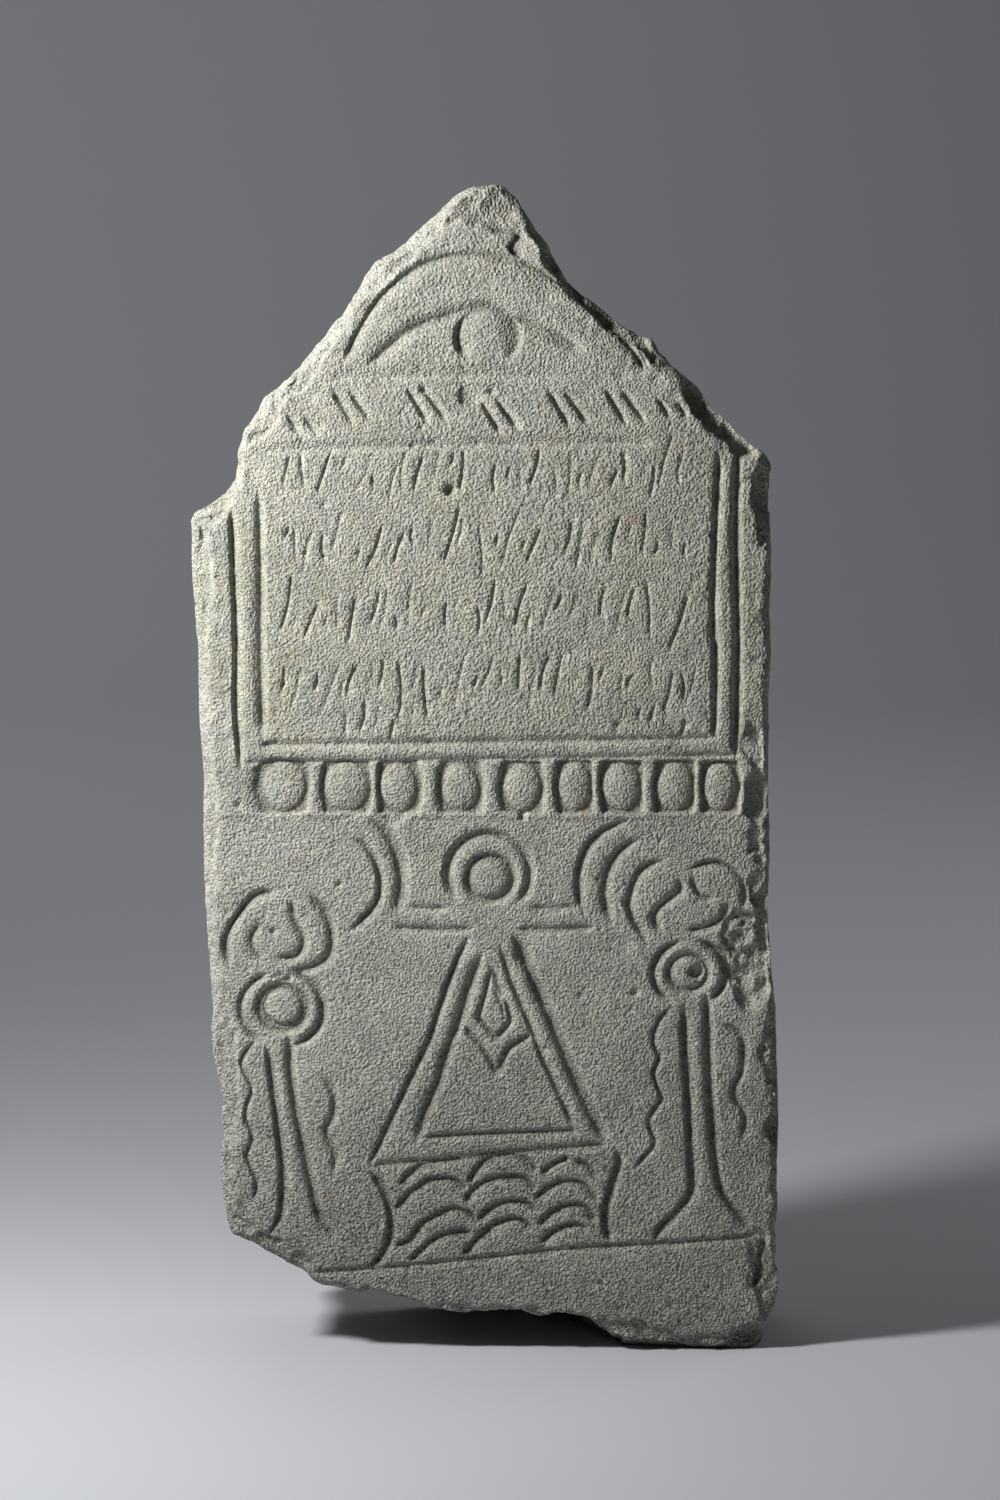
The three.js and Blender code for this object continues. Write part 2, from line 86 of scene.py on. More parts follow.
RIGHT_EDGE = [
    (116.5, 2), (120.4, 7.5), (123, 14), (126.4, 22), (128, 29), (126.3, 39), (125.8, 54), (126.3, 67),
    (126, 82), (126.4, 105), (125.5, 130), (124.9, 150), (123, 168), (121.3, 190), (122.2, 216), (121.2, 246),
    (121.3, 284), (122.2, 303), (121.6, 318), (121.8, 346), (121.3, 366), (121.7, 382.5),
]
FOOT_EDGE = [
    (-110.8, 57), (-109.4, 50.8), (-103, 47.6), (-91, 41.4), (-79, 34.2), (-72, 28.3), (-59, 25), (-46, 23.8),
    (-31, 21), (-23, 17.3), (-11, 15.7), (2, 16.2), (16, 16.2), (24, 13.9), (31, 15.5), (41, 13.8),
    (48.5, 10.5), (55, 5.6), (72, 2.9), (90, 1.5), (107, 0.4), (116.5, 2),
]

# How far the worn front edge stands in from the outline: box on the face (x from, x to, z from, z to), wear.
WEAR_ZONES = [
    ((12, 46, 447, 500), 4.8),  # right rake, broken, near the apex
    ((46, 80, 420, 447), 7.0),  # right rake
    ((80, 118, 384, 423), 10.0),  # right rake, a deep break above the shoulder
    ((-112, -14, 364, 500), 4.2),  # left rake, broken
    ((-130, -60, 0, 56), 3.4),  # broken foot, left
    ((-60, 110, 0, 30), 1.6),  # foot
    ((-130, -100, 56, 158), 6.8),  # left arris, chipped
    ((-130, -100, 158, 362), 5.2),  # left arris
    ((100, 130, 0, 45), 7.5),  # right foot corner
    ((118, 130, 355, 390), 6.0),  # right arris, broken top
]
PLAIN_WEAR = 2.6
ARRIS = 6.5  # depth behind the face at which the worn edge reaches the outline
SIDE_INSETS = [(ARRIS, 0.0), (38, 0.9), (81, 2.6), (90, 8.0)]  # behind the face, in from the outline
EVEN = 0.8  # how far the sides lose the small jags of the front outline

SHOULDER = 362  # the edges are broken above this height
FOOT_TOP = 56  # and below this one
CALM_INSET = 14.0  # the even grid of the face ends this far inside the outline
RIM_RINGS = 13  # rings between that grid and the worn edge
ARRIS_RINGS = 8
SIDE_RINGS = 46
BACK_EDGE = 9.0  # the last of the side is a rounded back edge, this deep
BACK_RINGS = 7

# The underside runs level behind the face at first and then falls to the ground, hardly at all at the left.
FALL_X, FALL = (-72, 0), (0.22, 0.85)  # millimetres down for each one back, at two places across
LEVEL_X, LEVEL = (25, 60), (56, ARRIS)  # how far back it is level, at two places across

# ---- carving
GABLE_DEPTH = 2.3
SYMBOL_DEPTH = 2.4
DEEP_CUT = 3.0
FAINT_DEPTH = 0.8
LINE_STEP = 1.2  # between two points of a cut line
SUNK_FIELD = 0.7  # the field below the beads lies this much deeper
BAND_DEPTH = 2.5
DRIFT = (0.8, -0.5)  # a cut's lowest line lies this far from the middle of its steep side


# ---- numbers as whole arrays
def smoothstep(low, high, value):
    """0 below low, 1 above high and 3t^2 - 2t^3 between them."""
    t = np.clip((value - low) / (high - low), 0.0, 1.0)
    return t * t * (3 - 2 * t)


def hashed(cells, seed):
    """A repeatable value from 0 to 1 for each row of whole numbers, mixed by multiplying and shifting."""
    most = np.uint64(0xFFFFFFFF)
    mixed = np.full(cells.shape[:-1], seed * 374761393 + 668265263, np.uint64)
    for axis in range(cells.shape[-1]):
        part = cells[..., axis].astype(np.int64).astype(np.uint64) * np.uint64(2654435761)
        mixed = (((mixed ^ part) & most) * np.uint64(2246822519)) & most
        mixed = mixed ^ (mixed >> np.uint64(15))
    mixed = (mixed * np.uint64(3266489917)) & most
    mixed = mixed ^ (mixed >> np.uint64(13))
    return mixed.astype(np.float64) / 0xFFFFFFFF


def lumps(points, size, seed):
    """Smooth noise from -1 to 1: random values at the corners of a grid, blended by 3t^2 - 2t^3."""
    scaled = points / size
    base = np.floor(scaled)
    part = scaled - base
    part = part * part * (3 - 2 * part)
    dims = points.shape[-1]
    total = np.zeros(points.shape[:-1])
    for corner in range(2**dims):
        offset = np.array([(corner >> axis) & 1 for axis in range(dims)])
        weight = np.prod(np.where(offset, part, 1 - part), axis=-1)
        total += weight * hashed(base + offset + 4096, seed)
    return 2 * total - 1


def rough(points, size, seed, octaves=3):
    """Layers of lumps, each half as large and half as high as the one before, scaled back to about 1."""
    layers = [0.5**k * lumps(points, size * 0.5**k, seed + 17 * k) for k in range(octaves)]
    return sum(layers) / sum(0.5**k for k in range(octaves))


def scars(points, size, seed):
    """Shallow bowls with sharp ridges between them, as flakes leave in stone: the deepest of the bowls nearby, each
    height - (distance / size)^2 about its own random middle."""
    dims = points.shape[-1]
    scaled = points / size
    cell = np.floor(scaled)
    deepest = np.full(points.shape[:-1], -9.0)
    for step in np.ndindex(*(3,) * dims):
        corner = cell + np.array(step) - 1
        middle = np.stack([hashed(corner + 4096, seed + 7 * axis) for axis in range(dims)], -1)
        height = 0.9 * hashed(corner + 4096, seed + 31)
        deepest = np.maximum(deepest, height - ((scaled - corner - middle) ** 2).sum(-1))
    return deepest


# ---- lines on the face
def along(knots, count=0):
    """Evenly spaced points on the straight lines through the knots: that many, or one at each line step."""
    knots = np.array(knots, float)
    lengths = np.linalg.norm(np.diff(knots, axis=0), axis=1)
    reach = np.concatenate([[0], np.cumsum(lengths)])
    places = np.linspace(0, reach[-1], count or max(2, int(round(reach[-1] / LINE_STEP)) + 1))
    return np.stack([np.interp(places, reach, knots[:, axis]) for axis in (0, 1)], 1)


def smooth(knots):
    """A Catmull-Rom curve through the knots, evenly spaced."""
    knots = np.array(knots, float)
    padded = np.vstack([2 * knots[0] - knots[1], knots, 2 * knots[-1] - knots[-2]])
    t = np.linspace(0, 1, 24, endpoint=False)[:, None]
    spans = [
        0.5 * (2 * b + (c - a) * t + (2 * a - 5 * b + 4 * c - d) * t**2 + (3 * b - a - 3 * c + d) * t**3)
        for a, b, c, d in zip(padded, padded[1:], padded[2:], padded[3:])
    ]
    return along(np.vstack([*spans, knots[-1:]]))


def arc(cx, cz, rx, rz, start, end):
    """Part of an ellipse between two angles in degrees, 0 to the right and 90 up."""
    count = max(3, int(abs(math.radians(end - start)) * max(rx, rz) / LINE_STEP) + 1)
    a = np.radians(np.linspace(start, end, count))
    return np.stack([cx + rx * np.cos(a), cz + rz * np.sin(a)], 1)


def cut(path, left, right, depth, tip=4.0):
    """One cut line: its path, the width of its left and right wall, its depth, and the length of its tips. A wall
    of negative width is the rounded shoulder of a raised band, any other is a hollow slope."""
    return {"path": np.asarray(path, float) + DRIFT, "left": left, "right": right, "depth": depth, "tip": tip}


def curve(knots, *walls):
    """A cut line along the smooth curve through the knots."""
    return cut(smooth(knots), *walls)


def straight(knots, *walls):
    """A cut line along the straight lines through the knots."""
    return cut(along(knots), *walls)


def oval(shape, *walls):
    """A cut line along part of an ellipse."""
    return cut(arc(*shape), *walls)


def nearest(x, z, path):
    """Distance from each place to a path, its hand (1 left, -1 right), and how far along the path that is."""
    a, b = path[:-1], path[1:]
    way = b - a
    length = np.maximum(np.linalg.norm(way, axis=1), 1e-9)
    way = way / length[:, None]
    dx, dz = x[:, None] - a[:, 0], z[:, None] - a[:, 1]
    run = np.clip(dx * way[:, 0] + dz * way[:, 1], 0, length)
    ex, ez = dx - run * way[:, 0], dz - run * way[:, 1]
    apart = ex * ex + ez * ez
    best = np.argmin(apart, axis=1)
    rows = np.arange(len(x))
    side = np.sign(way[best, 0] * dz[rows, best] - way[best, 1] * dx[rows, best])
    start = np.concatenate([[0], np.cumsum(length)])[best]
    return np.sqrt(apart[rows, best]), side, start + run[rows, best]


def cut_depth(x, z, cuts):
    """Depth of all the cuts at each place. A hollow slope is depth * (1 - r^1.4)^1.3 and a rounded shoulder is
    depth * (1 - r)^2, with r the share of the wall's width; the deepest cut counts."""
    depth = np.zeros_like(x)
    for number, line in enumerate(cuts):
        path = line["path"]
        margin = max(abs(line["left"]), abs(line["right"])) * 1.2
        low, high = path.min(0) - margin, path.max(0) + margin
        near = np.flatnonzero((x > low[0]) & (x < high[0]) & (z > low[1]) & (z < high[1]))
        if not len(near):
            continue
        apart, side, place = nearest(x[near], z[near], path)
        total = np.linalg.norm(np.diff(path, axis=0), axis=1).sum()
        taper = smoothstep(-0.35 * line["tip"], line["tip"], np.minimum(place, total - place))
        sway = np.stack([place, np.full_like(place, 31.7 * number)], 1)
        wall = np.where(side > 0, line["left"], line["right"]).astype(float)
        width = np.abs(wall) * (0.45 + 0.55 * taper) * (1 + 0.16 * lumps(sway, 9.0, 5))
        share = np.clip(apart / width, 0, 1)
        slope = (1 - share**1.4) ** 1.3
        shoulder = (1 - share) ** 2
        shape = np.where(wall < 0, shoulder, slope)
        depth[near] = np.maximum(depth[near], line["depth"] * taper * shape * (1 + 0.15 * lumps(sway, 5.0, 9)))
    return depth


# ---- the carved figures
def flake_cuts():
    """Edges of the broken flakes at the apex and at the left shoulder."""
    return [
        curve([(-19, 481), (-10, 486), (-2, 484), (6, 480), (13, 479), (10, 473), (17, 468)], 9, 1, 2.2, 6),
        curve([(-119, 360), (-112, 362), (-105, 368)], 7, 1.2, 1.6, 4),
    ]


def gable_cuts():
    """A crescent over a disc, two faint level lines and a row of slanting pairs."""
    outer = [
        (-60, 425), (-52, 441), (-42, 455), (-25, 467), (-4, 470.5), (16, 466.5), (30, 460), (48, 447),
        (64, 426),
    ]
    inner = [
        (-50, 424), (-40, 433), (-30, 440.5), (-16, 445.5), (0, 449.5), (12, 444.5), (27, 439.5), (42, 430),
    ]
    cuts = [
        curve(outer, 2.4, -6, GABLE_DEPTH, 8),
        curve([(43, 450), (48, 445), (55, 438), (61, 431), (67, 422)], 2.6, -3, 3.4, 4),
        curve([(13, 468), (22, 464), (32, 457.5)], 2.4, -2, 2.8, 4),
        curve(inner, -5, 5, 2.3, 8),
        oval((0.9, 436.5, 12.6, 12.3, 232, -52), 2.4, -9, GABLE_DEPTH, 7),
        straight([(-66, 419), (0, 420), (62, 419.5)], 5, 2.4, 1.2),
        straight([(-94, 388), (-20, 390.5), (70, 391.5)], 4.4, 2.4, 1.2),
        straight([(64.5, 431), (69, 422)], 2, 2, 2),
    ]
    for x, z in [(-84, 404), (-65, 414.5), (-33.5, 415), (-3, 411), (26, 414), (50, 414.5), (72, 411)]:
        length = 10 if abs(x) > 70 else 16
        cuts.append(straight([(x, z), (x + 0.6 * length, z - length)], 2.6, 1.5, 1.9, 5))
        x, z = x + 7, z - 0.5
        cuts.append(straight([(x, z), (x + 0.65 * length, z - 0.9 * length)], 2.6, 1.5, 1.9, 5))
    return cuts


# Strokes of the inscribed rows: how far each leans for its height, and half its height.
LEANS = (0.24, 0.04, 0.38, -0.06, 0.16, 0.42, 0.1, 0.28, -0.02, 0.34, 0.2)
TALLS = (7, 9.5, 3.5, 8, 12, 4.5, 6.5, 10, 3)


def panel_cuts():
    """The upright frame lines, the level lines below, and rows of shallow strokes that aren't letters."""
    cuts = [
        curve([(-107.5, 367), (-106.5, 340), (-105.6, 305), (-106, 280), (-104, 252)], -4.5, 2.2, 2.4, 8),
        curve([(-96, 372), (-95.5, 340), (-95.6, 300), (-95, 266)], 3.2, -4.5, 2.4, 8),
        curve([(98.5, 389), (97, 350), (96.3, 318), (97.5, 300), (97, 265)], -4, 2.2, 2.4, 8),
        curve([(106.5, 391), (105.5, 355), (106.6, 312), (106.4, 285), (106, 256)], 3, -4, DEEP_CUT, 8),
        straight([(-96, 263), (0, 264.5), (98, 266)], 3, -3.2, 1.7, 5),
        straight([(-103, 255.6), (0, 257.4), (110, 259)], -3.4, 1.6, 1.7, 4),
        straight([(-97.5, 298), (-96, 289)], 3, 2, 1.6, 3),
        straight([(96, 316), (96.5, 307)], 2.6, 3.2, 1.8, 3),
    ]
    rows = [(380, -84, 84), (350, -86, 86), (320, -86, 88), (290, -86, 88), (272, -66, -30), (272.5, 58, 82)]
    for row, (middle, start, end) in enumerate(rows):
        count = int(math.floor((end - start) / 6.3 + 0.5))
        for i in range(count + 1):
            x = start + (end - start) * i / count + 1.8 * math.sin(2.6 * i * i + row)
            tall = TALLS[(4 * i + 2 * row + i // 3) % 9] * (0.7 if row > 3 else 1)
            lean = LEANS[(3 * i + 5 * row + i // 4) % 11]
            z = middle + 4.5 * math.sin(2.4 * i * i + row)
            bend = 1.1 * math.sin(5.3 * i + row)
            knots = [(x - lean * tall, z - tall), (x + bend, z), (x + lean * tall, z + tall)]
            cuts.append(curve(knots, 1.2, 0.8, (1.15 + 0.5 * math.sin(2.3 * i + row)) * FAINT_DEPTH, 3))
    return cuts


# Middle and half width of each bead.
BEADS = [
    (-85.7, 9.2), (-59, 9.4), (-37, 8), (-10.8, 8.1), (15.5, 7.6), (37.8, 6.8), (57.6, 8), (80.5, 7.6),
    (99.5, 7.2),
]
BAND_FOOT, BAND_HEAD = 234.5, 256.5


def bead_band(x, z):
    """Depth of the bead band: a sunk strip with a dome for each bead and a waisted bar between two. The dome is
    sqrt(1 - |dx|^2 - |dz|^2.1); the bar falls away as the third power of its half width."""
    x, z = x - DRIFT[0], z - DRIFT[1]
    middle, reach = (BAND_HEAD + BAND_FOOT) / 2, (BAND_HEAD - BAND_FOOT) / 2
    wander = np.stack([x, z], -1)
    x, z = x + 0.5 * lumps(wander, 6.0, 131), z + 0.5 * lumps(wander, 6.0, 133)
    depth = np.full_like(x, BAND_DEPTH)
    up = np.abs(z - middle) / reach
    for centre, half in BEADS:
        inside = np.abs((x - centre) / half) ** 2.0 + (1.03 * up) ** 2.1
        depth = np.minimum(depth, BAND_DEPTH * (1 - np.sqrt(np.clip(1 - inside, 0, 1))) + 0.2)
    ends = [-111.5, *[c + s * h for c, h in BEADS for s in (-1, 1)], 115]
    for left, right in zip(ends[0::2], ends[1::2]):
        half = (right - left) / 2 * (0.72 + 0.45 * up**2)
        share = np.clip(np.abs(x - (left + right) / 2) / half, 0, 1)
        depth = np.minimum(depth, BAND_DEPTH * share**3 + 0.3)
    across = smoothstep(-106.5, -104.5, x) * (1 - smoothstep(111, 113, x))
    return depth * across * (1 - smoothstep(reach - 0.6, reach + 1.4, np.abs(z - middle)))


def sign_cuts():
    """The standing sign: a ringed head, bent arms, a bar and a triangle that holds a lozenge."""
    arm_l1 = [(-57, 223), (-52, 221), (-47.5, 214.5), (-45, 205), (-46.5, 196), (-52, 189), (-58, 183)]
    arm_l2 = [(-49, 232), (-42.5, 225), (-38.5, 216.5), (-36.6, 206), (-37.6, 197), (-39.5, 191)]
    arm_r1 = [(60, 231), (50, 226.5), (43, 219), (39.6, 209), (39.6, 198), (42, 191)]
    arm_r2 = [(66, 223.5), (58.5, 219), (53, 211.5), (50.6, 202), (51.4, 193.5), (54, 186)]
    outer_l = [(-7.5, 181), (-12, 172), (-16.5, 160.5), (-20.3, 149), (-24, 137), (-33, 118.5), (-50, 82)]
    outer_r = [(12, 181), (18, 166.5), (27, 145.5), (35, 125.5), (43, 107), (51.5, 90.5)]
    inner_l = [(-2, 174), (-7.5, 159), (-12, 143.5), (-17.2, 130), (-20.5, 118), (-26, 105.5), (-30.5, 91.5)]
    inner_r = [(6, 177), (11, 161.5), (18.5, 143.5), (23.5, 130), (31.5, 112.5), (38, 97.5)]
    return [
        oval((1.3, 208, 17.2, 17, 222, -46), 3.6, -4.2, SYMBOL_DEPTH, 7),
        oval((2, 206.3, 9.8, 9.6, 0, 360), -6, -3.8, 2.6, 0.1),
        curve(arm_l1, -4.2, 2.2, SYMBOL_DEPTH, 8),
        curve(arm_l2, 5, -4.2, SYMBOL_DEPTH, 8),
        curve(arm_r1, -4.4, 2.2, SYMBOL_DEPTH, 8),
        curve(arm_r2, -4.4, -4.4, SYMBOL_DEPTH, 8),
        straight([(-34, 194.5), (-25, 193), (-15, 193.5)], 2.4, -3.8, 1.4),
        straight([(19, 193.5), (30, 193), (40, 194.5)], 2.4, -3.8, 1.4),
        straight([(-40, 185), (-22, 184.3), (-5, 184.5)], -3.8, 2.6, 1.8),
        straight([(14, 184.5), (30, 184.4), (47, 185)], -3.8, 2.6, 1.8),
        straight(outer_l, -4.4, 2, SYMBOL_DEPTH, 7),
        straight(outer_r, 4.8, -4.4, DEEP_CUT, 7),
        straight(inner_l, 3.4, -4.4, SYMBOL_DEPTH, 7),
        straight(inner_r, -4, 1.8, 1.9, 7),
        straight([(-27, 94), (0, 95.5), (40, 97)], 2.2, -4, 1.9),
        straight([(-48, 82), (-20, 84.2), (10, 87.5), (52, 91)], -4, 2.2, 1.8),
        straight([(2.5, 168), (0, 156.5), (-3, 146.5), (4.4, 137.2), (10.6, 144.5), (8, 154)], -2.4, 2.2, 2.2),
        straight([(8, 154), (2.5, 168)], 2, 2, 1.6),
        straight([(-10, 143), (-2, 134), (5, 122.5), (9.5, 132.5), (20, 139.5)], 2.4, 2.4, 2),
        straight([(3.5, 159), (6.5, 152), (8.8, 144.5)], 1.4, 1.4, 1.2),
    ]


def left_staff_cuts():
    """The left wound staff: crescent, ring, flared stem and two waving ribbons."""
    crescent = [
        (-76, 199), (-70.5, 194), (-67, 187), (-65.8, 179), (-67.8, 172), (-74.5, 167.6), (-84, 165.8),
    ]
    stem_l = [(-94, 134), (-92, 119), (-90.2, 104), (-88, 84), (-87.6, 72), (-88.8, 60), (-93, 51)]
    stem_r = [(-84.4, 139), (-84, 124), (-81.7, 106), (-78.3, 88), (-75.2, 73), (-71.5, 58.5), (-63.5, 47.5)]
    ribbon_l = [
        (-98, 137), (-102.5, 131.5), (-105, 126), (-102.5, 120), (-100.4, 114.5), (-102.7, 107.5),
        (-103, 101.5), (-100.2, 95), (-101.5, 89.5), (-103, 86), (-100.4, 79), (-98.4, 73), (-100.5, 65),
    ]
    ribbon_r = [
        (-72, 121), (-67.5, 117), (-65, 110), (-66, 103), (-69, 97), (-66.8, 91), (-65, 85), (-66, 76),
    ]
    return [
        curve([(-89, 200), (-98, 198.5), (-106, 189.5), (-111, 179), (-109.5, 167)], -4.2, 2.6, SYMBOL_DEPTH, 7),
        curve(crescent, 3.2, -4.6, SYMBOL_DEPTH, 6),
        curve([(-96.5, 187), (-100, 178.5), (-95.5, 170)], -3.6, -3.8, 2.2),
        curve([(-82.8, 196.5), (-81.5, 188), (-77.8, 179.5), (-81, 172.5), (-89, 171.8)], -4.2, -4, 2.4, 5),
        oval((-87.3, 149.5, 17.6, 16, 105, 246), -3.8, 2.2, 2, 6),
        oval((-87.3, 149.5, 17.6, 16, 78, -72), 3.2, -4, DEEP_CUT, 6),
        oval((-86.4, 150.6, 8.3, 7.9, 0, 360), -2.8, 4.2, 2.4, 0.1),
        oval((-86.8, 150.2, 10.5, 10.1, 0, 360), 4.2, -3.4, 2.4, 0.1),
        curve([(-90, 163), (-86, 162), (-82, 163.5)], 2.6, 2, 1.8, 3),
        curve(stem_l, -5, 1.9, DEEP_CUT, 9),
        curve(stem_r, 3.2, -4, DEEP_CUT, 9),
        curve(ribbon_l, -3.4, 1.4, 1.8, 6),
        curve(ribbon_r, 3.2, -3.2, 2, 8),
    ]


def right_staff_cuts():
    """The right wound staff, the same figure drawn a little larger."""
    crescent = [(87, 210), (92, 212), (98.4, 212.6), (105, 210), (109.5, 204.5), (110.5, 198), (109, 192.5)]
    stem_l = [
        (84.6, 151), (84.8, 136), (86, 118), (87, 98), (88, 80), (87.7, 70.5), (82, 62), (75, 55), (72, 48.5),
    ]
    stem_r = [(94, 156), (94.8, 140), (95.3, 122), (97, 98), (98.8, 80), (101.5, 69.5), (108, 60), (115, 51)]
    ribbon_l = [
        (79, 151), (74, 145), (71.4, 138), (72.5, 132), (74.3, 129), (71.6, 122.5), (73.5, 115.5),
        (75.2, 111), (71.5, 105.5), (69.5, 100), (72.2, 92), (68, 86), (63.5, 80.5),
    ]
    ribbon_r = [
        (101, 143), (108, 139), (110, 133), (109.3, 123), (106, 115), (107, 109.5), (110.8, 103.5),
        (109.6, 92),
    ]
    return [
        curve([(76, 214), (66.5, 210), (61.6, 200), (62, 190.5), (69, 178.5)], -4.4, 2.4, SYMBOL_DEPTH, 8),
        curve(crescent, 2.2, -4, 2.2, 6),
        curve([(113, 190.5), (111, 187), (106.5, 183.5)], 2.2, -4, 2.6, 4),
        curve([(82, 206), (82.8, 201), (79, 197.5), (74, 193.5), (71.8, 188.5), (75, 182.5)], -3.6, -4, 2.5, 4),
        curve([(86, 183.5), (94.5, 185), (101, 189), (103.5, 195.5)], -4, -3.6, 2.3, 4),
        curve([(87.5, 207), (88.8, 202.5), (92, 198), (98, 197)], 2.4, -2.4, 2, 4),
        oval((87, 165.2, 15.6, 14, 100, 246), -4, 2.2, 2.3, 6),
        oval((87, 165.2, 15.6, 14, 76, -58), 2.6, -4, DEEP_CUT, 6),
        oval((86.4, 165.3, 8.2, 7.6, 0, 360), -4.6, -4, 2.1, 0.1),
        curve(stem_l, -5, 2.2, DEEP_CUT, 8),
        curve(stem_r, 3, -4, DEEP_CUT, 8),
        curve(ribbon_l, -3.4, 1.4, 1.9, 6),
        curve(ribbon_r, 3, -3, 1.9, 7),
    ]


# The arched upper edge of each scale, column by column.
SCALES = [
    [(-37, 73), (-34, 77), (-30, 80.5), (-25, 82.5), (-18, 84), (-10, 85)],
    [(-39, 62), (-36, 66), (-33, 69.5), (-29, 72.5), (-25, 75.2), (-20, 76), (-15, 76), (-11, 74), (-8, 71)],
    [
        (-39, 47), (-35, 48), (-32, 50), (-29.5, 54), (-27, 57), (-23, 59.3), (-15, 62.8), (-10, 62), (-6.5, 60.5),
        (-4.5, 57),
    ],
    [(-32.5, 40), (-30, 43), (-27, 45.5), (-24, 48.5), (-20, 50.8), (-15, 52), (-10, 52.8), (-6, 51.5)],
    [(-7, 74), (-5.5, 78), (-3, 81.5), (0, 84), (5, 86), (12, 86.5), (18, 84), (22, 79)],
    [(-8.5, 65.5), (-7.5, 68.5), (-5, 71.5), (-2, 73.8), (1, 75.5), (10, 76.8), (15, 76.3), (19, 74), (21, 70)],
    [(-4, 57), (-1.5, 60), (2, 63), (6, 65.2), (10, 66), (15, 66), (19, 64.5), (22, 61)],
    [(-10, 43), (-7, 46), (-4, 49.5), (-1, 52), (2, 55), (6, 57), (11, 58.5), (15, 58), (20, 54)],
    [(24, 78.5), (27, 81), (31, 83.7), (36, 85.5)],
    [(21.5, 67), (24, 70), (27, 72.3), (31, 74.3), (36, 75), (40, 74.5), (43, 72.5), (46, 69), (47, 66)],
    [(23, 55.5), (26, 59.5), (30, 62.5), (35, 64.5), (40, 64.5), (43, 63), (45.5, 60), (46.5, 57)],
    [(24, 48), (27, 51.5), (31, 54), (35, 55.5), (40, 55.5), (44, 53.5)],
    [(38, 84), (43, 82), (46, 79), (47.5, 76)],
]


def scale_cuts():
    """Overlapping arched scales under the triangle, a curved line at each side and the slanting ground line."""
    cuts = [
        curve([(-49.5, 79), (-44.5, 71), (-41.4, 61), (-41.8, 50.5), (-45.5, 42.5), (-51, 36)], 3.6, 1.8, 2.8, 6),
        curve([(55, 88), (56.7, 84), (54, 75), (51, 64), (51, 55), (53.5, 48)], 3.8, 1.8, 2.8, 5),
        straight([(-75, 35), (-45, 37), (-20, 39.5), (15, 43.5), (40, 46), (80, 48), (116, 50.5)], 1.8, 2.8, 1.5, 6),
    ]
    return cuts + [curve(knots, 2.2, -5, 2.3, 2.2) for knots in SCALES]


# Broken-away lumps: x, z, half sizes across and up, turn in degrees, depth of the middle, half size in depth.
CHIPS = [
    (-4, 497, 10, 9, 0, -2.5, 4.5), (8, 490, 12, 12, -30, -1.5, 5), (93, 409, 6.5, 13, 42, -1.5, 7.5),
    (121, 372, 9, 17, -4, -1.5, 5), (117, 240, 6.5, 13, 0, 0, 4), (120.5, 183, 5.5, 22, 0, -0.5, 6),
    (105, 167, 4.5, 11, 24, -1, 5), (111.5, 154, 5, 9, 28, -1, 4), (125, 97, 4.6, 7, 0, 0, 6),
    (118.3, 39, 2, 12, -12, 0, 6), (113, 4, 10, 7, 30, 0, 7), (-107.5, 54, 7, 4, -20, -1, 4),
    (-116.5, 366, 8, 5, 25, -1, 6), (-6, 410, 6, 4, -30, -0.6, 2.4), (-14, 371, 2.6, 2.6, 0, 0, 2.4),
    (-88, 163.5, 5, 2.4, 30, -1, 2.6), (-103, 63, 6, 9, -12, -1.5, 2.8), (-78.5, 40, 6, 5, -40, -1.5, 4),
    (90.8, 165.5, 3.6, 4, -20, 0.4, 3.4), (16.5, 232.8, 2, 1.7, 0, 0.5, 2.6),
]

# Broken ground: x, z, half sizes across and up, turn in degrees, depth.
BREAKS = [
    (113, 172, 10, 25, 16, 3), (119.5, 214, 7.5, 27, 0, 2.4), (8, 491, 20, 12, -8, 1.8),
    (101, 402, 23, 8.5, -41, 4.8), (50, 448, 4.5, 40, 48, 2.4), (121, 366, 7, 22, 0, 1.8),
    (-96, 48, 26, 7, -36, 2.2), (121, 34, 7, 24, 10, 1.8), (121.5, 128, 5, 20, 0, 1.4),
    (-119, 230, 6, 34, 0, 1.6), (-120, 330, 6, 32, 0, 1.5), (-111, 120, 7, 36, 2, 1.8),
    (-78, 418, 5, 40, -42, 1.4), (-36, 470, 6, 26, -50, 1.4), (-116, 364, 9, 7, 0, 1.8),
    (-50, 24, 30, 4, -12, 1.1), (10, 16, 40, 4, -3, 1), (78, 6, 40, 4, -9, 1.2), (115, 262, 5, 12, 0, 1.2),
    (-77, 160.5, 6, 4, 20, 1.2), (60, 176, 7, 5, -30, 0.9), (112, 98, 3.5, 5, 0, 0.9),
    (-40, 478, 12, 5, 40, 1), (-37, 229, 6, 5, 20, 1.2), (-112, 78, 5, 14, 0, 1.6),
]


def turned(x, z, ellipse, ragged):
    """Where each place lies in a turned ellipse with ragged edges, as shares of its two half sizes."""
    cx, cz, rx, rz, turn = ellipse
    cos, sin = math.cos(math.radians(turn)), math.sin(math.radians(turn))
    dx, dz = x - cx + ragged[..., 0], z - cz + ragged[..., 1]
    return (dx * cos + dz * sin) / rx, (dz * cos - dx * sin) / rz


def break_depth(x, z):
    """Depth of the broken ground: inside each ellipse the stone is down by its depth, more in the bowls of the flake
    scars and less on the ridges between them."""
    place = np.stack([x, z], -1)
    ragged = 4.5 * np.stack([rough(place, 11.0, 151), rough(place, 11.0, 153)], -1)
    bowls = 0.75 + 0.9 * scars(place, 7.5, 155) + 0.35 * scars(place, 2.8, 157)
    depth = np.zeros_like(x)
    for *ellipse, deep in BREAKS:
        inside = np.hypot(*turned(x, z, ellipse, ragged))
        depth = np.maximum(depth, deep * smoothstep(1.0, 0.7, inside))
    return depth * bowls


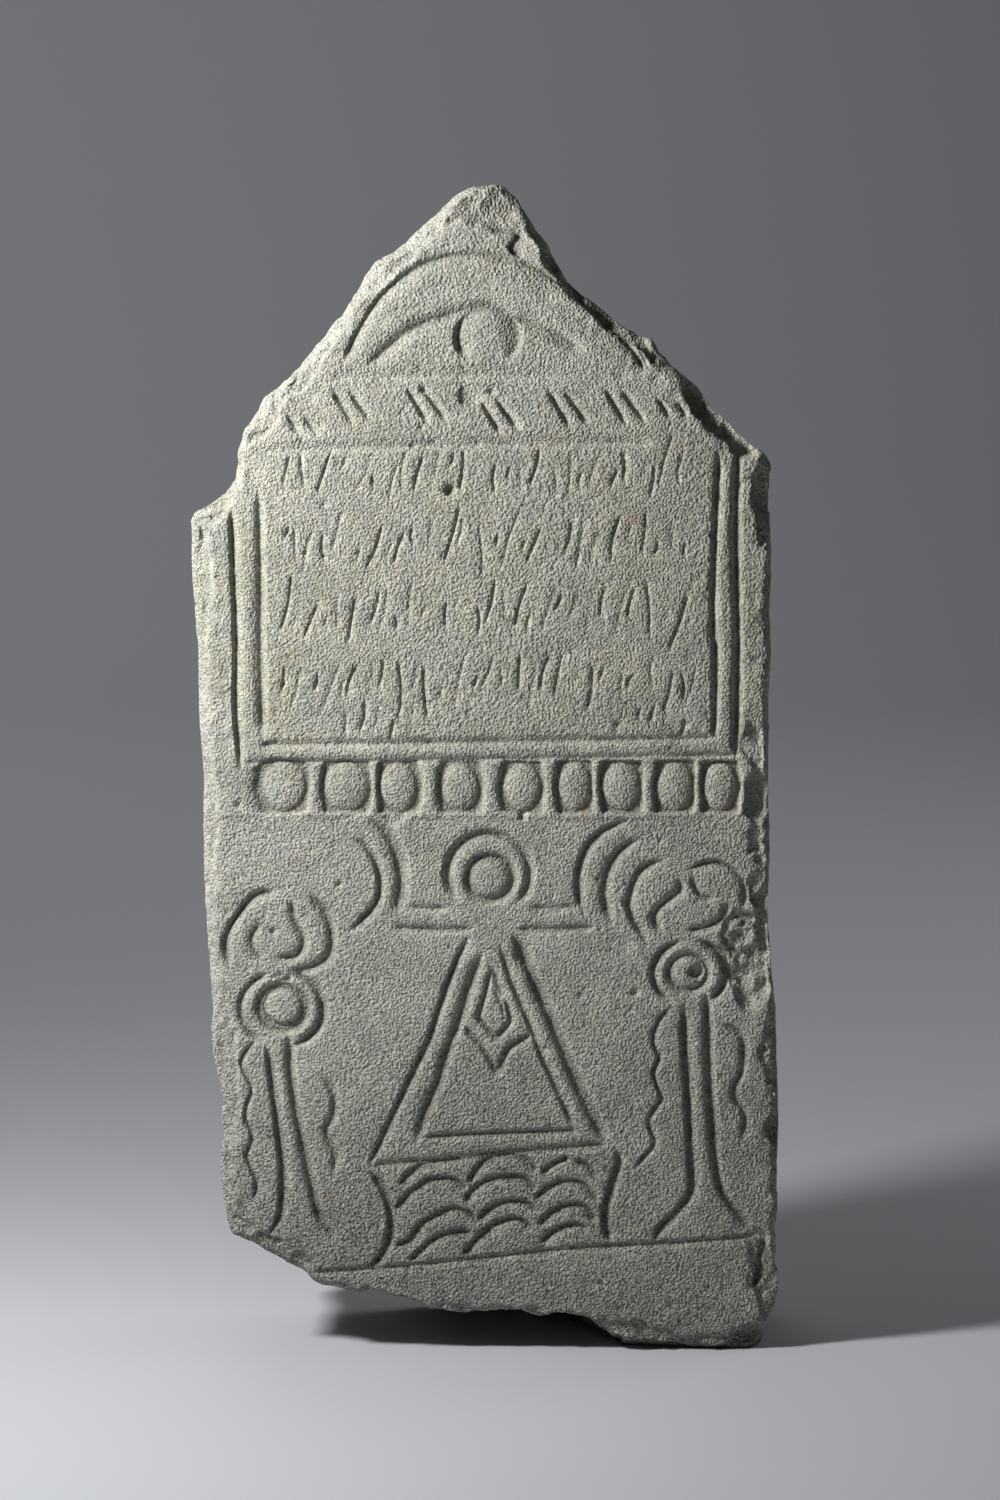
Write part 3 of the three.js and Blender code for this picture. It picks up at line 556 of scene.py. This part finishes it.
def chip_depth(x, z):
    """How far behind the face the broken lumps reach: the far side of each ellipsoid, with ragged walls."""
    place = np.stack([x, z], -1)
    ragged = 1.6 * np.stack([rough(place, 5.0, 41), rough(place, 5.0, 43)], -1)
    depth = np.zeros_like(x)
    for *ellipse, behind, deep in CHIPS:
        u, w = turned(x, z, ellipse, ragged)
        hollow = np.sqrt(np.clip(1 - u**2 - w**2, 0, 1))
        depth = np.maximum(depth, np.where(hollow > 0, behind + deep * hollow, 0))
    return depth


def pit_depth(x, z, count, seed):
    """Small scattered pits: each is depth * (1 - r^2) inside its own radius."""
    depth = np.zeros_like(x)
    for across, up, size, deep in np.random.default_rng(seed).random((count, 4)):
        px, pz, radius = -122 + 246 * across, 10 + 480 * up, 0.9 + 1.4 * size**3
        near = np.flatnonzero((np.abs(x - px) < radius) & (np.abs(z - pz) < radius))
        r2 = ((x[near] - px) ** 2 + (z[near] - pz) ** 2) / radius**2
        depth[near] = np.maximum(depth[near], (0.2 + 0.5 * deep) * radius * np.clip(1 - r2, 0, 1))
    return depth


def all_cuts():
    """Every cut line on the face."""
    figures = (flake_cuts, gable_cuts, panel_cuts, sign_cuts, left_staff_cuts, right_staff_cuts, scale_cuts)
    return [line for figure in figures for line in figure()]


def carved(x, z, cuts):
    """Depth of the carver's work at each place, without wear: cuts, bead band and the slightly sunk lower field."""
    edge = 233.0 + 1.2 * lumps(np.stack([x, np.zeros_like(z)], -1), 14.0, 3)
    field = SUNK_FIELD * (1 - smoothstep(edge - 1.6, edge + 0.4, z)) * smoothstep(24, 60, z)
    return np.maximum(cut_depth(x, z, cuts), bead_band(x, z)) + field


def relief(x, z, cuts, strength, gap):
    """Depth of the whole face behind its highest plane: carving, breaks, pits and the unevenness of the stone, which
    grows rougher within a few millimetres of the broken edges; gap is the distance from the edge."""
    place = np.stack([x, z], -1)
    swell = 2.2 * ((x - MIDDLE_X) / 122) ** 2
    uneven = swell + 0.3 * (1 + rough(place, 60.0, 11, 2)) + 0.16 * (1 + rough(place, 9.0, 23, 2))
    grain = 0.05 * (1 + lumps(place, 1.7, 29))
    broken = np.where(z > SHOULDER, 1.0, 0.75) * np.exp(-np.maximum(gap, 0) / 8.0)
    scoops = np.maximum(1.6 * scars(place, 9.0, 141) + 0.6 * scars(place, 3.5, 143), 0)
    lost = np.maximum(chip_depth(x, z), break_depth(x, z)) + broken * scoops
    return np.maximum(strength * carved(x, z, cuts), lost) + uneven + grain + pit_depth(x, z, 220, 77)


# ---- the slab as one closed surface
def patch(left, right, bottom, top):
    """A surface between four edges (Coons patch): the two blends of opposite edges, less the blend of the corners.
    Rows run upward and columns to the right."""
    v = np.linspace(0, 1, len(left))[:, None, None]
    u = np.linspace(0, 1, len(bottom))[None, :, None]
    sides = (1 - u) * left[:, None] + u * right[:, None]
    ends = (1 - v) * bottom[None] + v * top[None]
    corners = (1 - u) * (1 - v) * bottom[0] + u * (1 - v) * bottom[-1] + (1 - u) * v * top[0] + u * v * top[-1]
    return sides + ends - corners


def around(grid):
    """The border of a grid as one loop: along the bottom, up the right, back along the top and down the left."""
    return np.concatenate([grid[0, :-1], grid[:-1, -1], grid[-1, :0:-1], grid[:0:-1, 0]])


def loop_inward(loop, width):
    """Inward direction at each point of a closed loop, worked out over a stretch of that many points."""
    ahead, back = np.roll(loop, -width, 0), np.roll(loop, width, 0)
    way = ahead - back
    way /= np.linalg.norm(way, axis=1)[:, None]
    return np.stack([-way[:, 1], way[:, 0]], 1)


def blurred(loop, width):
    """A closed loop averaged over that many neighbouring points, weighted by a raised cosine."""
    weight = np.hanning(width + 2)[1:-1]
    half = width // 2
    padded = np.concatenate([loop[-half:], loop, loop[:half]])
    return np.stack([np.convolve(padded[:, axis], weight / weight.sum(), "valid") for axis in (0, 1)], 1)


def wear_along(loop):
    """How far the worn front edge stands in at each point: its zone's wear, blurred along the loop, and uneven."""
    wear = np.full(len(loop), PLAIN_WEAR)
    for (x0, x1, z0, z1), amount in reversed(WEAR_ZONES):
        wear[(loop[:, 0] >= x0) & (loop[:, 0] <= x1) & (loop[:, 1] >= z0) & (loop[:, 1] <= z1)] = amount
    blur = np.hanning(31)
    wear = np.convolve(np.concatenate([wear[-15:], wear, wear[:15]]), blur / blur.sum(), "valid")
    return wear * (1 + 0.4 * rough(loop, 14.0, 51) + 0.25 * lumps(loop, 4.0, 53))


def grid_faces(index, flip=False):
    """Quads of a grid of vertex numbers."""
    a, b, c, d = index[:-1, :-1], index[:-1, 1:], index[1:, 1:], index[1:, :-1]
    order = (a, d, c, b) if flip else (a, b, c, d)
    return np.stack([part.ravel() for part in order], 1)


class Shell:
    """A surface that starts as a grid of points and grows outward from its border, ring by ring."""

    def __init__(self, grid):
        self.points, self.quads, self.triangles, self.count = [], [], [], 0
        index = self.add(grid.reshape(-1, 3)).reshape(grid.shape[:2])
        self.quads.append(grid_faces(index))
        self.border = around(index)

    def add(self, points):
        """Takes points in and gives back their numbers."""
        numbers = self.count + np.arange(len(points))
        self.points.append(points)
        self.count += len(points)
        return numbers

    def grow(self, ring):
        """Joins a ring to the border: by quads, or by three triangles for each two steps to half as many points."""
        a, d = self.border, self.add(ring)
        if len(d) == len(a):
            self.quads.append(np.stack([a, d, np.roll(d, -1), np.roll(a, -1)], 1))
        else:
            a, b, c, e = a[0::2], a[1::2], np.roll(a[0::2], -1), np.roll(d, -1)
            self.triangles += [np.stack(corners, 1) for corners in ((a, d, b), (b, d, e), (b, e, c))]
        self.border = d

    def close(self, grid):
        """Fills the hole inside the border with a grid, whose own border is there already."""
        rows, columns = grid.shape[:2]
        index = np.empty((rows, columns), int)
        sides = np.split(self.border, np.cumsum([columns - 1, rows - 1, columns - 1]))
        index[0, :-1], index[:-1, -1], index[-1, :0:-1], index[:0:-1, 0] = sides
        index[1:-1, 1:-1] = self.add(grid[1:-1, 1:-1].reshape(-1, 3)).reshape(rows - 2, columns - 2)
        self.quads.append(grid_faces(index, flip=True))


def patch_inside(loop, columns, rows):
    """The patch inside a closed loop, which starts at its lower left corner."""
    whole = np.vstack([loop, loop[:1]])
    corners = np.cumsum([0, columns, rows, columns, rows])
    bottom, right, top, left = (whole[start : end + 1] for start, end in zip(corners, corners[1:]))
    return patch(left[::-1], right, bottom, top[::-1])


def foot_share(loop, columns):
    """How far each point takes part in the fall of the underside: wholly along the foot, and less up both sides."""
    left, right = smoothstep(40, 0, loop[:, 1] - 57), smoothstep(14, 0, loop[:, 1] - 4)
    share = np.where(loop[:, 0] < 0, left, right)
    share[: columns + 1] = 1.0
    return share


def ring_at(loop, inward, foot, inset, behind):
    """Points of a ring at a depth behind the face: the loop drawn in, and lowered where it belongs to the foot by the
    fall of the underside, but never below the ground."""
    x, z = (loop + inward * inset[:, None]).T
    fall, level = np.interp(x, FALL_X, FALL), np.interp(x, LEVEL_X, LEVEL)
    drop = np.minimum(fall * np.maximum(behind - level, 0), z + 10)
    return np.stack([x, np.full(len(x), FRONT + behind), np.maximum(z - foot * drop, 0.0)], 1)


def dressing(loop, behind, broken):
    """How far the roughly dressed sides stand in at a depth: two sizes of uneven ground, with flake scars of two
    sizes where the stone is broken."""
    place = np.column_stack([loop, np.full(len(loop), behind)])
    dressed = 0.9 * (1 + rough(place, 22.0, 81)) + 0.4 * (1 + rough(place, 5.0, 83, 2))
    flaked = 4.2 * np.maximum(scars(place, 24.0, 181), 0) + 2.0 * np.maximum(scars(place, 8.0, 183), 0) - 1.8
    return np.maximum(dressed + broken * flaked, 0)


def slab_surface(columns, rows, strength):
    """Vertices in millimetres and faces of the whole stone. The front is a patch between the worn edges, pushed back
    by the relief. Rings then run round the arris, over the rough sides and round the back edge to a coarser back."""
    sides = [along(knots, rows + 1) for knots in (LEFT_EDGE, RIGHT_EDGE)]
    ends = [along(knots, columns + 1) for knots in (FOOT_EDGE, GABLE_EDGE)]
    plain = around(patch(*sides, *ends))
    broken = np.where((plain[:, 1] > SHOULDER) | (plain[:, 1] < FOOT_TOP), 1.0, 0.45)
    jags = 0.7 + 0.9 * rough(plain, 9.0, 61) + 0.35 * lumps(plain, 2.5, 67)
    outer = plain + loop_inward(plain, 9) * (broken * jags)[:, None]
    inward = loop_inward(outer, 12)
    wear = np.minimum(wear_along(outer), CALM_INSET - 3)
    worn = outer + inward * wear[:, None]
    calm = blurred(plain + loop_inward(plain, 18) * CALM_INSET, 31)
    foot = foot_share(outer, columns)
    cuts = all_cuts()

    # the even grid of the face
    front = patch_inside(calm, columns, rows)
    x, z = front[..., 0], front[..., 1]
    sideways = np.minimum(x - x[:, :1], x[:, -1:] - x)
    upward = np.minimum(0.75 * (z[-1:] - z), z - z[:1])
    gap = CALM_INSET - PLAIN_WEAR + np.minimum(sideways, upward).ravel()
    depth = relief(x.ravel(), z.ravel(), cuts, strength, gap).reshape(x.shape)
    shell = Shell(np.stack([x, FRONT + depth, z], -1))
    # out to the uneven start of the wear
    for share in np.linspace(0, 1, RIM_RINGS + 1)[1:]:
        flat = calm + share * (worn - calm)
        gap = (1 - share) * np.linalg.norm(worn - calm, axis=1)
        depth = relief(flat[:, 0], flat[:, 1], cuts, strength, gap)
        shell.grow(np.stack([flat[:, 0], FRONT + depth, flat[:, 1]], 1))
    # round the worn arris: a quarter ellipse from the face to the outline
    for turn in np.linspace(0, np.pi / 2, ARRIS_RINGS + 1)[1:]:
        inset, behind = wear * (1 - np.sin(turn)), ARRIS * (1 - np.cos(turn))
        flat = outer + inward * inset[:, None]
        edge = relief(flat[:, 0], flat[:, 1], cuts, strength, np.zeros(len(flat)))
        chips = chip_depth(flat[:, 0], flat[:, 1])
        pressed = np.maximum(edge * np.cos(turn) + behind, np.where(chips > behind, chips, 0))
        flaked = 1.3 * np.maximum(scars(outer + 0.8 * behind, 6.5, 171), 0)
        uneven = 0.5 * (1 + rough(np.column_stack([flat, np.full(len(flat), behind)]), 4.0, 71))
        flat = outer + inward * (inset + (uneven + flaked) * np.sin(2 * turn))[:, None]
        shell.grow(np.stack([flat[:, 0], FRONT + pressed, flat[:, 1]], 1))
    # over the roughly dressed sides, with half as many points
    half, even = outer[::2], blurred(outer, 33)[::2]
    for behind in np.linspace(ARRIS + 1.6, THICKNESS - BACK_EDGE, SIDE_RINGS):
        inset = np.interp(behind, *zip(*SIDE_INSETS)) * smoothstep(ARRIS, 20, behind)
        dressed = dressing(half, behind, broken[::2]) * smoothstep(ARRIS, 18, behind)
        loop = half + EVEN * smoothstep(9, 40, behind) * (even - half)
        shell.grow(ring_at(loop, inward[::2], foot[::2], inset + dressed, behind))
    # round the back edge, with a quarter as many points
    quarter = outer[::4]
    even = quarter + EVEN * (even[::2] - quarter)
    start, end = SIDE_INSETS[-2][1], SIDE_INSETS[-1][1]
    for turn in np.linspace(0.25, np.pi / 2, BACK_RINGS):
        behind = THICKNESS - BACK_EDGE + BACK_EDGE * np.sin(turn)
        inset = start + (end - start) * (1 - np.cos(turn)) + dressing(quarter, behind, broken[::4])
        ring = ring_at(even, inward[::4], foot[::4], inset, behind)
        shell.grow(ring)
    # the back, uneven but for its edge
    back = patch_inside(ring[:, [0, 2]], columns // 4, rows // 4)
    hollow = 0.35 * (1 + rough(back, 45.0, 91)) + 0.25 * (1 + rough(back, 9.0, 93, 2))
    v, u = np.indices(hollow.shape)
    hollow *= smoothstep(0, 3, np.minimum.reduce([u, v, columns // 4 - u, rows // 4 - v]))
    shell.close(np.stack([back[..., 0], FRONT + THICKNESS - hollow, back[..., 1]], -1))

    points = np.concatenate(shell.points)
    points[:, 0] -= MIDDLE_X
    low, high = np.array(CAD_LOW) / MM, np.array(CAD_HIGH) / MM
    return np.clip(points, low, high), np.concatenate(shell.quads), np.concatenate(shell.triangles)


def mesh_from(name, points, quads, triangles):
    """A mesh in metres from points in millimetres, four-cornered faces and three-cornered faces."""
    mesh = bpy.data.meshes.new(name)
    mesh.vertices.add(len(points))
    mesh.vertices.foreach_set("co", (points * MM).astype(np.float32).ravel())
    corners = np.concatenate([quads.ravel(), triangles.ravel()]).astype(np.int32)
    mesh.loops.add(len(corners))
    mesh.loops.foreach_set("vertex_index", corners)
    mesh.polygons.add(len(quads) + len(triangles))
    starts = np.concatenate([4 * np.arange(len(quads)), 4 * len(quads) + 3 * np.arange(len(triangles))])
    mesh.polygons.foreach_set("loop_start", starts.astype(np.int32))
    mesh.update(calc_edges=True)
    return mesh


# ---- materials
def linear(colour):
    """An sRGB hex colour as linear red, green, blue and alpha."""
    parts = [int(colour.lstrip("#")[i : i + 2], 16) / 255 for i in (0, 2, 4)]
    return [p / 12.92 if p <= 0.04045 else ((p + 0.055) / 1.055) ** 2.4 for p in parts] + [1.0]


def add_node(tree, kind, settings=(), **inputs):
    """Adds a node, sets its own settings, and fills its inputs with values or links them to other nodes' outputs."""
    node = tree.nodes.new(kind)
    for name, value in dict(settings).items():
        setattr(node, name, value)
    for name, value in inputs.items():
        socket = node.inputs[int(name[1:])] if name[1:].isdigit() else node.inputs[name.replace("_", " ")]
        if isinstance(value, bpy.types.NodeSocket):
            tree.links.new(value, socket)
        else:
            socket.default_value = value
    return node


def new_material(name):
    """An empty material, its nodes and its shader."""
    material = bpy.data.materials.new(name)
    material.use_nodes = True
    return material, material.node_tree, material.node_tree.nodes["Principled BSDF"]


def stone_material(settings):
    """Weathered granular limestone, cut with a point and worn: no sheen, grains of about 1 mm that catch the light,
    a warm pale skin above and a cooler grey below, lighter above and darker below partly as painted light falloff,
    and darker earth with painted shade in the cuts."""
    material, tree, shader = new_material("weathered_granular_limestone")
    shader.inputs["Roughness"].default_value = 0.92
    shader.inputs["IOR"].default_value = 1.5
    shader.inputs["Specular IOR Level"].default_value = 0.25
    place = add_node(tree, "ShaderNodeTexCoord").outputs["Object"]

    def noise(size_mm, detail, roughness):
        inputs = {"Vector": place, "Scale": 1000 / size_mm, "Detail": detail, "Roughness": roughness}
        return add_node(tree, "ShaderNodeTexNoise", **inputs).outputs["Fac"]

    def mix(kind, share, first, second):
        options = {"data_type": "RGBA", "blend_type": kind}
        return add_node(tree, "ShaderNodeMix", options, _0=share, _6=first, _7=second).outputs[2]

    def combine(kind, *values):
        inputs = {f"_{number}": value for number, value in enumerate(values)}
        return add_node(tree, "ShaderNodeMath", {"operation": kind}, **inputs).outputs[0]

    def spread(value, start, end, first=0.0, last=1.0):
        return add_node(tree, "ShaderNodeMapRange", Value=value, _1=start, _2=end, _3=first, _4=last).outputs[0]

    def ramp(source, *stops):
        node = add_node(tree, "ShaderNodeValToRGB", Fac=source)
        elements = node.color_ramp.elements
        while len(elements) < len(stops):
            elements.new(0.5)
        for element, (position, colour) in zip(elements, stops):
            element.position = position
            element.color = linear(colour) if isinstance(colour, str) else [colour] * 3 + [1]
        return node.outputs["Color"]

    def stored(name):
        return add_node(tree, "ShaderNodeAttribute", {"attribute_name": name}).outputs["Fac"]

    height = add_node(tree, "ShaderNodeSeparateXYZ", Vector=place).outputs["Z"]
    # Blend by height: a warm pale skin above and a cooler grey below; the lighter top and darker bottom are partly
    # painted light falloff.
    skin_and_painted_falloff = spread(combine("MULTIPLY_ADD", noise(90, 2, 0.5), 0.20, height), 0.10, 0.24)
    colour = mix("MIX", skin_and_painted_falloff, linear(settings.cool_grey), linear(settings.warm_grey))
    colour = mix("MULTIPLY", 0.8, colour, ramp(noise(16, 4, 0.6), (0.3, "#d9dbdb"), (0.7, "#ffffff")))
    colour = mix("MULTIPLY", 0.8, colour, ramp(noise(5, 3, 0.6), (0.3, "#eaf0f2"), (0.7, "#fffbf3")))
    # a tan wash in patches, strongest over the inscribed panel
    band = ramp(height, (0.23, 0.12), (0.28, 0.85), (0.37, 0.85), (0.42, 0.35))
    wash = combine("MULTIPLY", spread(noise(24, 4, 0.65), 0.38, 0.64), band)
    colour = mix("MULTIPLY", wash, colour, linear("#fffef2"))
    # single grains, plainer on the skin
    scale = 1000 / settings.grain_size
    grains = add_node(tree, "ShaderNodeTexVoronoi", Vector=place, Scale=scale, Randomness=1.0).outputs["Color"]
    speck = add_node(tree, "ShaderNodeSeparateColor", Color=grains).outputs[0]
    speckle = ramp(speck, (0.0, "#626261"), (0.2, "#c0c0bf"), (0.8, "#e4e4e3"), (1.0, "#ffffff"))
    colour = mix("MULTIPLY", spread(skin_and_painted_falloff, 0.0, 1.0, 1.0, 0.75), colour, speckle)
    # earth and painted shade in the cuts, then the small stains
    colour = mix("MULTIPLY", combine("MULTIPLY", stored("recess"), 0.5), colour, linear("#8f8c84"))
    colour = mix("MIX", stored("stain"), colour, linear("#a9774c"))
    tree.links.new(colour, shader.inputs["Base Color"])

    strength = spread(skin_and_painted_falloff, 0.0, 1.0, settings.grain_relief, 0.6 * settings.grain_relief)
    coarse, fine = noise(4.0 * settings.grain_size, 1, 0.4), noise(1.3 * settings.grain_size, 0, 0.4)
    rise = combine("MULTIPLY_ADD", coarse, 0.35, fine)
    bump = add_node(tree, "ShaderNodeBump", Height=rise, Strength=strength, Distance=0.0017)
    tree.links.new(bump.outputs["Normal"], shader.inputs["Normal"])
    return material


def plain_material(name, colour, roughness):
    """One even colour, for the studio only."""
    material, _, shader = new_material(name)
    shader.inputs["Base Color"].default_value = linear(colour)
    shader.inputs["Roughness"].default_value = roughness
    return material


# Small orange and brown stains on the face: x, z, radius, strength.
STAINS = [
    (43, 234, 2.6, 0.4), (63, 358, 1.3, 0.5), (-66, 67.5, 4.0, 0.15), (-40, 82, 4.0, 0.15), (22, 188, 2.5, 0.15),
    (1.5, 53, 3.0, 0.15), (-57, 186, 1.8, 0.12),
]


def add_attribute(mesh, name, values):
    """Stores one number per vertex under a name that the material reads."""
    attribute = mesh.attributes.new(name, "FLOAT", "POINT")
    attribute.data.foreach_set("value", values.astype(np.float32))


# ---- settings
class SteleSlabSettings(bpy.types.PropertyGroup):
    """What a user would change on the stone."""

    columns: IntProperty(name="Columns", description="Steps across the carved face", default=372, min=80)
    rows: IntProperty(name="Rows", description="Steps up the carved face", default=600, min=120)
    most_triangles: IntProperty(
        name="Most triangles", description="The finished stone is thinned to this many", default=192000, min=20000
    )
    carving: FloatProperty(
        name="Carving", description="Depth of the worn carving against its first depth", default=0.96, min=0.0,
        max=2.0, subtype="FACTOR",
    )
    grain_size: FloatProperty(
        name="Grain size (mm)", description="Width of one grain of the stone", default=0.75, min=0.2
    )
    grain_relief: FloatProperty(
        name="Grain relief", description="How strongly the grains stand out", default=0.9, min=0.0, max=1.0,
        subtype="FACTOR",
    )
    # The upper colour is paler than the lower: partly the stone's warmer skin, partly painted light falloff.
    warm_grey: StringProperty(
        name="Upper colour", description="sRGB hex colour of the pale skin above", default="#d1cfc5"
    )
    cool_grey: StringProperty(
        name="Lower colour", description="sRGB hex colour of the stone below", default="#acaca5"
    )


class SteleStudioSettings(bpy.types.PropertyGroup):
    """What a user would change on the studio."""

    floor_colour: StringProperty(
        name="Floor colour", description="sRGB hex colour of the floor and backdrop", default="#bcbec3"
    )
    key_power: FloatProperty(
        name="Key light", description="Power of the light from the upper left", default=7.5, min=0.0, unit="POWER"
    )
    side_power: FloatProperty(
        name="Side light", description="Power of the light from behind right", default=5.0, min=0.0, unit="POWER"
    )
    back_power: FloatProperty(
        name="Back light", description="Power of the light high behind", default=10.0, min=0.0, unit="POWER"
    )
    wall_power: FloatProperty(
        name="Wall light", description="Power of the light on the backdrop", default=7.0, min=0.0, unit="POWER"
    )
    camera_distance: FloatProperty(
        name="Camera distance", description="From the carved face to the camera", default=2.2, min=0.5, unit="LENGTH"
    )
    camera_height: FloatProperty(
        name="Camera angle", description="How far above level the camera looks from", default=math.radians(7),
        subtype="ANGLE",
    )
    lens: FloatProperty(name="Lens", description="Focal length", default=124.5, min=20.0, unit="CAMERA")


# ---- operators
class STELE_OT_slab(bpy.types.Operator):
    """Builds the carved stone over its plain solid"""

    bl_idname = "stele.slab"
    bl_label = "Carved slab"

    def execute(self, context):
        settings = context.scene.stele_slab
        columns, rows = (4 * (value // 4) for value in (settings.columns, settings.rows))
        points, quads, triangles = slab_surface(columns, rows, settings.carving)
        mesh = mesh_from("carved_slab", points, quads, triangles)
        piece = bpy.data.objects.new("carved_slab", mesh)
        context.scene.collection.objects.link(piece)
        thin = piece.modifiers.new("thin", "DECIMATE")
        thin.ratio = min(1.0, settings.most_triangles / (2 * len(quads) + len(triangles)))
        thin.use_collapse_triangulate = True
        finished = bpy.data.meshes.new_from_object(piece.evaluated_get(context.evaluated_depsgraph_get()))
        if not 0 < len(finished.polygons) < 1.01 * settings.most_triangles:
            raise RuntimeError("The stone could not be thinned to its number of triangles")
        piece.modifiers.clear()
        piece.data = finished
        bpy.data.meshes.remove(mesh)
        finished.name = "carved_slab"
        finished.shade_smooth()
        co = np.empty(3 * len(finished.vertices), np.float32)
        finished.vertices.foreach_get("co", co)
        co = np.clip(co.reshape(-1, 3), CAD_LOW, CAD_HIGH)
        finished.vertices.foreach_set("co", co.ravel())
        finished.update()
        co = co.astype(float) / MM
        x, z = co[:, 0] + MIDDLE_X, co[:, 2]
        on_face = co[:, 1] < FRONT + 8
        # This darkens the deeper cuts: partly earth lodged there, partly painted shade where less light reaches the
        # bottoms.
        add_attribute(finished, "recess", smoothstep(1.1, 2.5, carved(x, z, all_cuts())) * on_face)
        stain = np.zeros(len(x))
        for sx, sz, radius, strength in STAINS:
            ragged = radius * (1 + 0.5 * lumps(np.stack([x, z], -1), 1.6, 99))
            stain = np.maximum(stain, strength * smoothstep(1.0, 0.3, np.hypot(x - sx, z - sz) / ragged))
        add_attribute(finished, "stain", stain * on_face)
        finished.materials.append(stone_material(settings))
        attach(piece, "root")
        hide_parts("stele_slab")
        return {"FINISHED"}


# The studio, in metres. The sweep is level from its front to the bend, and its wall stands up to the top.
SWEEP_HALF, SWEEP_FRONT, SWEEP_TOP = 5.0, -3.5, 4.0
BEND_START, BEND_RADIUS = 2.4, 0.9
LOOKED_AT = (0.00495, FRONT * MM, 0.26097)
# Size of each round light, where it stands and what it points at.
LIGHTS = {
    "key": (0.13, (-0.5, -0.31, 0.6), (0, -0.045, 0.3)),
    "side": (1.0, (1.4, 1.0, 1.0), (0.1, 0.0, 0.2)),
    "back": (1.6, (-0.5, 2.0, 2.3), (-0.4, 2.0, 0)),
    "wall": (1.2, (-1.9, 1.5, 1.3), (-0.3, 3.3, 0.8)),
}


def placed(scene, name, data, place, target):
    """Puts a light or camera in the scene, turned to look at the target."""
    thing = bpy.data.objects.new(name, data)
    scene.collection.objects.link(thing)
    thing.location = place
    thing.rotation_euler = (Vector(target) - Vector(place)).to_track_quat("-Z", "Y").to_euler()
    return thing


class STELE_OT_studio(bpy.types.Operator):
    """Sets the floor and backdrop, the lights and the camera"""

    bl_idname = "stele.studio"
    bl_label = "Studio"

    def execute(self, context):
        settings = context.scene.stele_studio
        scene = context.scene
        # The sweep is a profile pulled sideways: level floor, quarter circle, upright wall.
        turn = np.linspace(0, np.pi / 2, 17)
        y = np.concatenate([[SWEEP_FRONT], BEND_START + BEND_RADIUS * np.sin(turn), [BEND_START + BEND_RADIUS]])
        z = np.concatenate([[0.0], BEND_RADIUS * (1 - np.cos(turn)), [SWEEP_TOP]])
        side = np.array([-SWEEP_HALF, SWEEP_HALF])
        grid = np.stack(np.broadcast_arrays(side[:, None], y[None], z[None]), -1)
        index = np.arange(2 * len(y)).reshape(2, len(y))
        mesh = mesh_from("sweep", grid.reshape(-1, 3) / MM, grid_faces(index, flip=True), np.empty((0, 3), int))
        mesh.shade_smooth()
        mesh.materials.append(plain_material("matt_paper", settings.floor_colour, 0.9))
        sweep = bpy.data.objects.new("sweep", mesh)
        scene.collection.objects.link(sweep)
        sweep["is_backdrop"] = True

        for name, (size, place, target) in LIGHTS.items():
            lamp = bpy.data.lights.new(name, "AREA")
            lamp.energy, lamp.shape, lamp.size = getattr(settings, name + "_power"), "DISK", size
            placed(scene, name, lamp, place, target)
        world = bpy.data.worlds.new("studio")
        world.use_nodes = True
        background = world.node_tree.nodes["Background"]
        background.inputs["Color"].default_value = linear("#cfd3da")
        background.inputs["Strength"].default_value = 0.03
        scene.world = world

        camera = bpy.data.cameras.new("camera")
        camera.lens, camera.sensor_width, camera.clip_start, camera.clip_end = settings.lens, 36.0, 0.01, 50.0
        up = settings.camera_height
        place = np.array(LOOKED_AT) + settings.camera_distance * np.array([0, -math.cos(up), math.sin(up)])
        scene.camera = placed(scene, "camera", camera, place, LOOKED_AT)
        scene.view_settings.view_transform = "Standard"
        if not mesh.polygons or scene.camera is None:
            raise RuntimeError("The studio has no floor or no camera")
        return {"FINISHED"}


class STELE_PT_panel(bpy.types.Panel):
    """Lists the settings and the two steps"""

    bl_idname = "STELE_PT_panel"
    bl_label = "Stele"
    bl_space_type = "VIEW_3D"
    bl_region_type = "UI"
    bl_category = "Stele"

    def draw(self, context):
        for group, operator in (("stele_slab", "stele.slab"), ("stele_studio", "stele.studio")):
            box = self.layout.box()
            settings = getattr(context.scene, group)
            for name in settings.__annotations__:
                box.prop(settings, name)
            box.operator(operator)


CLASSES = (SteleSlabSettings, SteleStudioSettings, STELE_OT_slab, STELE_OT_studio, STELE_PT_panel)


def register():
    for cls in CLASSES:
        bpy.utils.register_class(cls)
    bpy.types.Scene.stele_slab = PointerProperty(type=SteleSlabSettings)
    bpy.types.Scene.stele_studio = PointerProperty(type=SteleStudioSettings)


def unregister():
    del bpy.types.Scene.stele_studio
    del bpy.types.Scene.stele_slab
    for cls in reversed(CLASSES):
        bpy.utils.unregister_class(cls)


def main():
    register()
    bpy.ops.stele.studio()
    bpy.ops.stele.slab()


if __name__ == "__main__":
    main()
